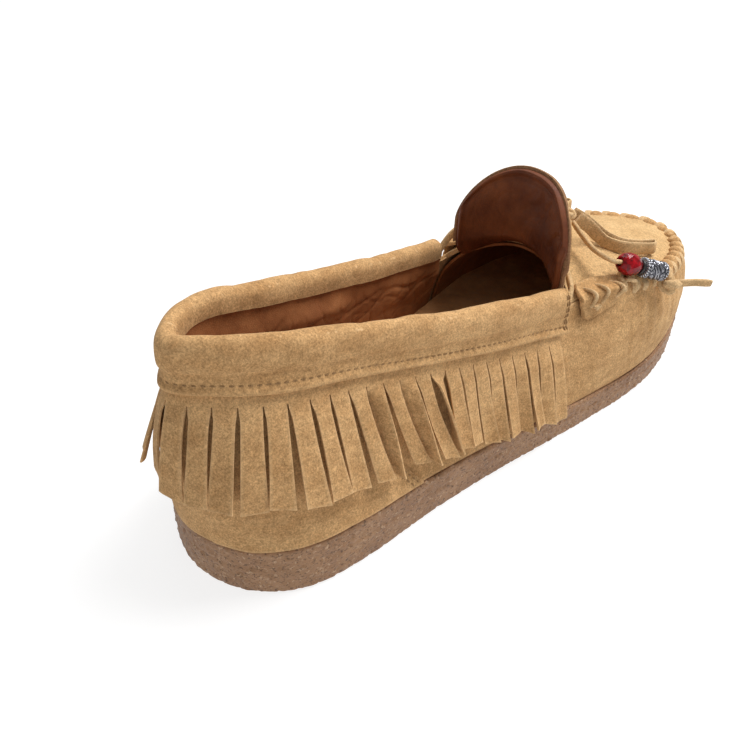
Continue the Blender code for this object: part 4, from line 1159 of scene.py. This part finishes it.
def make_vamp_lining():
    """The lining of the toe: one arched sheet inside the wall and the plug."""
    a, t = np.meshgrid(np.linspace(0.0, 0.93, 120), np.linspace(0, 1, 100), indexing="ij")
    depth = np.full(a.shape, 2.2)
    outside = vamp_arch(a, t, depth)
    relief = 0.22 * ripples(outside, 18.0, 64) + 0.3 * creases(outside, 16.0, 65)
    inside = vamp_arch(a, t, depth + 1.0 - relief * 0.6)
    make_piece("vamp_lining_leather", layer(outside, inside), BROWN, ("vamp_lining",))


LINER_TOP, LINER_UNDER = 9.9, 8.7       # the footbed leather's faces, above the sole's top
LINER_GRID = (260, 70)


def make_sock_liner():
    """The footbed's leather, dished a little by the foot, with a worn heel."""
    def edge_at(level):
        def edge(stations):
            z = sole_top(sole_edge(stations)[..., 1]) + level
            depth = lining_depth(stations) + 1.0 + 0.25
            place = wall(stations, v_at_height(stations, z)) - outward(stations) * depth[..., None]
            place[..., 2] = sole_top(place[..., 1]) + level
            return place
        return edge

    over, under = (ladder(edge_at(level), *LINER_GRID) for level in (LINER_TOP, LINER_UNDER))
    across = np.linspace(-1, 1, LINER_GRID[1])[None, :]
    heel = np.exp(-((over[..., 1] - 2.0) / 26.0) ** 2)
    dish = 0.7 * across ** 4 - 0.5 * heel * (1 - across ** 2)
    over[..., 2] += dish + 0.16 * ripples(over, 16.0, 66)
    over[..., 2] -= 0.18 * creases(over, 22.0, 67)
    make_piece("footbed_leather", layer(over, under), FOOTBED, ("sock_liner",))


# === Collar ===
BAND_EDGE = 15.6
# The band's outer and inner skins in pairs of (outward, up), from its lower edge outside, over the
# roll, to its inner edge. None stands for the face that lies over the fringe.
BAND_SKINS = [((None, -BAND_EDGE), (None, -BAND_EDGE)), ((None, -10.4), (None, -10.4)),
              ((4.5, -8.5), (3.1, -8.5)), ((4.5, -5.0), (3.1, -5.0)), ((3.9, -2.3), (2.7, -3.1)),
              ((2.6, -0.6), (2.0, -1.8)), ((0.8, 0.0), (0.8, -1.3)), ((-1.2, -0.7), (-0.4, -1.9)),
              ((-2.4, -2.3), (-1.2, -3.0)), ((-2.8, -4.6), (-1.5, -4.6)),
              ((-2.8, -7.0), (-1.5, -7.0))]
FRINGE_STAND, FRINGE_THICKNESS, BAND_GAP, BAND = 0.3, 1.0, 0.6, 1.3
COLLAR_STITCH = 2.5            # the length of one stitch with its gap
STITCH_UP = -13.2              # the stitch row's height on the band


def band_skins(u, s):
    """The band's outer and inner skins at stations u (a column) and profile places s."""
    centre, n = collar_line(u), outward(u)
    columns = []
    for skin, thick in ((0, BAND), (1, 0.0)):
        rows = []
        for pair in BAND_SKINS:
            out, up = pair[skin]
            if out is None:
                face = wall(u, v_at_height(u, centre[..., 2] + up))
                out = np.sum((face - centre) * n, axis=-1)
                out = out + FRINGE_STAND + FRINGE_THICKNESS + BAND_GAP + thick
            rows.append(np.stack([np.broadcast_to(out, u.shape), np.full(u.shape, up)], -1))
        table = np.stack(rows).reshape(len(BAND_SKINS), -1)
        dense = on_curve(table, s, closed=False).reshape(len(s), *u.shape, 2)
        flat = np.moveaxis(dense[:, :, 0], 0, 1)
        columns.append(centre[:, :1] + n[:, :1] * flat[..., :1] + ABOVE * flat[..., 1:])
    return columns


def make_collar():
    """The padded collar's suede band, sewn down over the fringe, with its row of stitches."""
    u = np.linspace(LATERAL_END, MEDIAL_END + LAST, 1100)[:, None]
    s = np.concatenate([[0.0, 0.03], np.linspace(0.08, len(BAND_SKINS) - 1, 76)])
    outer, inner = band_skins(u, s)
    up = outer[..., 2] - collar_line(u)[..., 2]
    normal = unit(np.cross(np.gradient(outer, axis=0), np.gradient(outer, axis=1)))
    if np.sum(normal[:, 20] * outward(u)[:, 0]) < 0:
        normal = -normal
    run = run_length(outer[:, 0])[:, None]
    outside = ease(-s, -3.2, -2.4)[None, :]
    sewn = np.exp(-((up - STITCH_UP) / 0.8) ** 2) * outside
    welt = np.exp(-((up - STITCH_UP + 1.5) / 0.75) ** 2) * outside
    relief = 0.30 * welt - 0.62 * sewn * (0.7 + 0.3 * np.cos(2 * np.pi * run / COLLAR_STITCH))
    relief = relief + 0.18 * ripples(outer, 26.0, 71) + 0.08 * ripples(outer, 9.0, 72)
    crumple = creases(outer * (1, 0.8, 0.35), 17.0, 73, 0.6)
    relief = relief - 0.24 * crumple * ease(up, -11.5, -7.5)
    raw = (1 - ease(s, 0.0, 0.08))[None, :]
    ends = np.minimum(np.arange(len(u)), np.arange(len(u))[::-1])[:, None]
    relief = relief - 0.3 * raw - 0.5 * (1 - ease(ends, 0, 4))
    gathered = np.exp(-((ends * 0.33 - 2.6) / 0.7) ** 2)
    relief = relief - 0.3 * gathered * ease(up, -14.8, -12.8)
    outer = outer + normal * relief[..., None]
    make_piece("collar_suede", layer(outer, inner), TAN, ("collar_band",))

    row = int(np.argmin(np.abs(up[0] - STITCH_UP) + 10 * (s > 3)))
    rows = [stitches(outer[8:-8, row], normal[8:-8, row], COLLAR_STITCH, rise=0.02)]
    for column in (6, 13):
        for end in (column, -column - 1):
            line, face = outer[end, 3:40], normal[end, 3:40]
            rows.append(stitches(line, face, 2.4))
    make_piece("collar_thread", joined(rows), SHADED_THREAD, ())


FOAM_INSET = 0.4               # in stations, from the band's ends


def make_collar_padding():
    """The foam inside the roll."""
    u = np.linspace(LATERAL_END + FOAM_INSET, MEDIAL_END + LAST - FOAM_INSET, 300)
    outline = [(2.8, -5.8), (2.8, -5.0), (2.4, -3.4), (1.8, -2.2), (0.8, -1.7), (-0.2, -2.3),
               (-0.9, -3.3), (-1.2, -4.6), (-1.2, -5.8), (0.8, -6.3)]
    dense = on_curve(outline, np.linspace(0, len(outline), 30, endpoint=False))
    centre, n = collar_line(u), outward(u)
    rings = [centre + n * out + np.array([0, 0, up]) for out, up in dense]
    pad = make_piece("collar_foam", sweep(np.stack(rings, axis=1)), FOAM, ("collar_padding",))


# === Fringe ===
STRANDS = 46
FRINGE_TUCK, FRINGE_HEADER, FRINGE_LENGTH = 5.0, 3.6, 31.6
FRINGE_START, FRINGE_END = 19.4, 6.6
FRINGE_HANG = (5.0, 2.6)
SLIT = 1.15                    # the slits' width halfway down
STRAND_COLUMNS, STRAND_ROWS = 7, 44
# Strands that have strayed: number counted from the lateral end, then how far each one's foot
# swings towards the toe or heel, how far it lifts off, and its twist in degrees.
STRAYED = {18: (0.0, -1.0, 5), 19: (0.3, -2.4, 4), 20: (0.0, -3.0, 0), 21: (-1.0, 1.6, 6),
           22: (0.4, -1.0, 3), 30: (0.8, 0.5, 5), 31: (3.8, 0.8, 10), 32: (3.0, 1.6, 82),
           33: (6.0, 1.0, 12), 34: (4.6, 3.4, 78), 35: (5.0, 1.4, 8), 36: (3.4, 2.4, -80),
           37: (1.0, 0.8, 14), 38: (-0.4, 1.4, -16), 39: (0.8, 0.7, 22), 40: (-0.6, 1.8, 34),
           41: (1.0, 1.0, -18), 42: (0.2, 1.6, 48), 43: (0.8, 0.8, -22), 44: (-0.3, 1.2, 24)}
HEADER_SEAM = 0.06             # share of the pitch left between strand grids in the uncut header
EDGE_ON = 60                   # strands twisted this far turn edge-on from near their tops


def fringe_base(u, drop):
    """The undisturbed fringe's inner face: drop is measured down from the band's lower edge."""
    z = collar_line(u)[..., 2] - BAND_EDGE - drop
    v = np.clip(v_at_height(u, z), 0, 1)
    from_heel = np.minimum(u % LAST, LAST - u % LAST)
    hang = np.interp(from_heel, (2.5, 5.0), FRINGE_HANG)
    near = FRINGE_STAND + (2.2 - FRINGE_STAND) * np.clip(drop / 10.0, 0, 1)
    stand_off = near + (hang - 2.2) * np.clip((drop - 10.0) / (FRINGE_LENGTH - 10.0), 0, 1)
    place = wall(u, v) + outward(u) * stand_off[..., None]
    place[..., 2] = z
    return place


def make_fringe():
    """One strip cut into strands that hang, curl and twist each in their own way."""
    fine = np.linspace(FRINGE_START, FRINGE_END + LAST, 900)
    steps = run_length(fringe_base(fine, np.zeros(900)))
    pitch = steps[-1] / STRANDS
    drops = np.concatenate([np.linspace(-FRINGE_TUCK, FRINGE_HEADER, 8)[:-1],
                            np.linspace(FRINGE_HEADER, FRINGE_LENGTH, STRAND_ROWS)])
    hanging = np.clip((drops - FRINGE_HEADER) / (FRINGE_LENGTH - FRINGE_HEADER), 0, 1)
    draw = np.random.default_rng(81)
    across = np.linspace(-0.5, 0.5, STRAND_COLUMNS)
    front, back = [], []
    for strand in range(STRANDS):
        sway, lift, twist = draw.normal(0, 0.55), abs(draw.normal(0, 0.7)), draw.normal(0, 8.0)
        wave, curl, trim = draw.uniform(-0.5, 0.5), draw.uniform(-0.2, 0.9), draw.uniform(-1.1, 0.3)
        if strand in STRAYED:
            sway, lift, twist = STRAYED[strand]
        slant = draw.uniform(-0.5, 0.5)
        middle = np.interp((strand + 0.5) * pitch, steps, fine)
        drop = drops + trim * hanging ** 2
        centre = fringe_base(np.full(len(drops), middle), drop)
        tangent = unit(fringe_base(np.full(len(drops), middle + 0.03), drop)
                       - fringe_base(np.full(len(drops), middle - 0.03), drop))
        facing = np.broadcast_to(outward(middle), centre.shape)
        centre = centre + tangent * (sway * hanging ** 1.6)[:, None]
        if abs(twist) > EDGE_ON:
            wave = 1.6
        bow = lift * hanging ** 1.5 + wave * np.sin(np.pi * hanging * 1.4) * hanging
        centre = centre + facing * bow[:, None]
        angle = np.radians(twist) * hanging ** (0.4 if abs(twist) > EDGE_ON else 1.3)
        side = tangent * np.cos(angle)[:, None] + facing * np.sin(angle)[:, None]
        down = unit(np.gradient(centre, axis=0))
        face = unit(np.cross(side, down))
        face = face * np.sign(np.sum(face * facing, axis=1)[:1])[:, None]
        spread = np.linalg.norm(fringe_base(np.full(len(drops), middle + 0.03), drop)
                                - fringe_base(np.full(len(drops), middle - 0.03), drop), axis=1)
        gap = SLIT * draw.uniform(0.3, 1.3) * np.sin(np.pi * hanging ** 0.6) ** 0.8 + 0.12 * hanging
        width = (pitch - gap) * spread / spread[len(drops) - STRAND_ROWS]
        for s in across:
            run = (strand + 0.5 + s) * pitch
            run = run - HEADER_SEAM * s * pitch
            flat = fringe_base(np.full(len(drops), np.interp(run, steps, fine)), drops)
            flat_face = np.broadcast_to(outward(np.interp(run, steps, fine)), flat.shape)
            cup = curl * (4 * s * s - 0.4) * hanging
            cut = ABOVE * (slant * s * 2.2 * hanging ** 6)[:, None]
            loose = centre + side * (s * width)[:, None] + face * cup[:, None] + cut
            mix = ease(hanging, 0.0, 0.16)[:, None]
            place = flat * (1 - mix) + loose * mix
            normal = unit(flat_face * (1 - mix) + face * mix)
            thin = 0.22 * (abs(s) > 0.49) * (hanging > 0)
            front.append(place + normal * (FRINGE_THICKNESS - thin)[:, None])
            back.append(place + normal * thin[:, None])
    outer, inner = np.stack(front, axis=1), np.stack(back, axis=1)
    faces = grid_faces(*outer.shape[:2])
    row, column = np.divmod(np.arange(len(faces)), outer.shape[1] - 1)
    slit = (column % STRAND_COLUMNS == STRAND_COLUMNS - 1) & (row >= 7)
    fringe = make_piece("fringe_strands", shell(outer, inner, faces[~slit]), TAN, ("fringe",))


# === Tongue ===
def make_tongue():
    """The tongue's suede, and the leather sewn inside it with a rolled edge and soft creases."""
    q = np.sin(np.pi / 2 * np.linspace(-1, 1, 150))[:, None]
    r = np.sin(np.pi / 2 * np.linspace(0, 1, 90))[None, :]
    rim = np.minimum((1 - np.abs(q)) * TONGUE_HALF * 1.6, (1 - r) * 26.0)
    place = tongue_point(q, r, 0.0)
    flare = 0.9 * ease(r, 0.55, 1.0) ** 2
    soft = 0.25 * ripples(place, 19.0, 91) + 0.08 * ripples(place, 7.0, 92)
    edge = 0.45 * (1 - ease(rim, 0.0, 0.8))
    front = tongue_point(q, r, flare + soft - edge)
    back = tongue_point(q, r, flare - 1.5 + 0.6 * edge)
    suede_side = make_piece("tongue_suede", layer(front, back), TAN, ("tongue",), body=None)
    # Its back and rims take the flesh side's colour together with painted shade.
    suede_side.data.materials.append(FLESH_AND_SHADE)
    front_faces = len(grid_faces(*front.shape[:2]))
    for face in suede_side.data.polygons[front_faces:]:
        face.material_index = 1
    under = np.linspace(1, 0, 24, endpoint=False)[None, :]
    inside_q, inside_r = q * 0.965, np.concatenate([0 * under, r * 0.965], axis=1)
    tucked = np.concatenate([under, 0 * r], axis=1)
    flare = np.concatenate([0 * under, flare], axis=1)
    rim = np.minimum((1 - np.abs(q)) * TONGUE_HALF * 1.6, (1 - inside_r) * 26.0)
    place = tongue_point(inside_q, inside_r, 0.0)
    roll = 0.55 * np.exp(-((rim - 1.6) / 0.9) ** 2) - 0.35 * np.exp(-((rim - 3.6) / 0.8) ** 2)
    sewn_down = 0.7 * (1 - ease(rim, 0.2, 1.0))
    medial = 0.3 + 0.7 * ease(q, -0.1, 0.55)
    wrinkles = creases(place * (1.0, 1, 0.75), 13.0, 93)
    wrinkles += 0.5 * creases(place * (1.4, 1, 1), 7.5, 94)
    relief = roll - sewn_down - 0.55 * medial * wrinkles * ease(rim, 3.0, 7.0)
    relief = np.maximum(relief + 0.35 * ripples(place, 16.0, 95), -1.0)
    lower = -(4.2 + 3.6 * q * q) * np.sin(np.pi / 2 * tucked)
    turn = np.stack([0 * lower, 8.5 * tucked ** 1.5 + 0 * lower, lower], -1)
    back = tongue_point(inside_q, inside_r, flare - 3.0 - relief) + turn
    front = tongue_point(inside_q, inside_r, flare - 1.6) + turn * (1, 1, 0.8)
    # Its leather takes the darker copy of the lining, which is painted shade.
    leather = make_piece("tongue_leather_painted_shade", layer(back, front), SHADED_TONGUE_BROWN, ("tongue_lining",),
                         body=None)
    for piece in (suede_side, leather):
        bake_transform(piece)


# === Collar lace ===
COLLAR_LACE, TUNNEL_DROP = (2.5, 1.7), 7.5       # its section, and how deep its tunnel lies


def make_collar_lace():
    """The lace in the collar's tunnel, with both ends brought up over the plug to the knot."""
    stations = np.concatenate([[LATERAL_END], np.arange(19.5, MEDIAL_END + LAST, 0.5),
                               [MEDIAL_END + LAST]])
    inside = collar_line(stations) + 0.8 * outward(stations) - TUNNEL_DROP * ABOVE
    lateral = [(-3.5, 124.5, 66.8), (-13.0, 121.0, 64.6), (-22.0, 116.0, 60.5),
               (-28.5, 109.5, 54.0)]
    medial = [(27.6, 108.0, 53.0), (24.2, 110.8, 55.8), (20.0, 113.6, 58.4),
              (14.0, 117.4, 61.9), (10.8, 121.0, 64.6), (11.2, 124.6, 66.8)]
    route = smooth_route(lateral + [tuple(p) for p in inside] + medial, 420)
    strap = swept_strap(route, worn(route, 7, 0.15), strap_section(*COLLAR_LACE))
    make_piece("collar_lace_strap", strap, LACE, ("collar_lace",))


# === Putting it together ===
make_outsole()
make_upper()
make_plug()
ear_lacing = [make_ear("medial"), make_ear("lateral")]
make_piece("seam_lacing", joined([seam_stitches(), *ear_lacing]), LACE, ("seam_lace",))
make_heel_patch()
make_quarter_lining()
make_vamp_lining()
make_sock_liner()
make_collar()
make_collar_padding()
make_fringe()
make_tongue()
make_collar_lace()
for node, finish in (("insole_board", BOARD), ("heel_counter", BOARD), ("footbed_foam", FOAM)):
    for material_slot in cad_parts[node].material_slots:
        material_slot.material = finish


# === Stage ===
FLOOR_HALF = 3.0               # metres
FLOOR_GLOW, WORLD_LIGHT = 0.78, 0.35
LIT_POINT = (0, 90, 30)
# Each soft light's name, place in millimetres, side in metres and power in watts.
LIGHTS = (("key", (150, 500, 860), 0.5, 10.3), ("fill", (700, -300, 500), 0.7, 0.8),
          ("rim", (-500, 500, 600), 0.6, 1.5))


def make_stage():
    """A plain white floor that fades into the background, and soft studio light."""
    paper = Finish("white_floor", 0.9, Specular_IOR_Level=0.0, Emission_Strength=FLOOR_GLOW)
    paper.shader.inputs["Emission Color"].default_value = (1, 1, 1, 1)
    paper.colour(paper.ramp(paper.noise(30.0), (0.0, 0.29), (1.0, 0.31)))
    corners = [(x * FLOOR_HALF, y * FLOOR_HALF, 0) for x, y in ((-1, -1), (1, -1), (1, 1), (-1, 1))]
    mesh = bpy.data.meshes.new("floor")
    mesh.from_pydata(corners, [], [(0, 1, 2, 3)])
    mesh.materials.append(paper.material)
    floor = bpy.data.objects.new("floor", mesh)
    bpy.context.collection.objects.link(floor)
    world = bpy.data.worlds.new("studio")
    world.use_nodes = True
    background = world.node_tree.nodes["Background"]
    background.inputs["Color"].default_value = (1, 1, 1, 1)
    background.inputs["Strength"].default_value = WORLD_LIGHT
    bpy.context.scene.world = world
    target = Vector(LIT_POINT) * MM
    for name, place, side, power in LIGHTS:
        data = bpy.data.lights.new(name, "AREA")
        data.size = side
        data.energy = power
        light = bpy.data.objects.new(name, data)
        light.location = Vector(place) * MM
        light.rotation_euler = (target - light.location).to_track_quat("-Z", "Y").to_euler()
        bpy.context.collection.objects.link(light)
    view = bpy.context.scene.view_settings
    view.view_transform = "Standard"
    view.look = "None"


make_stage()
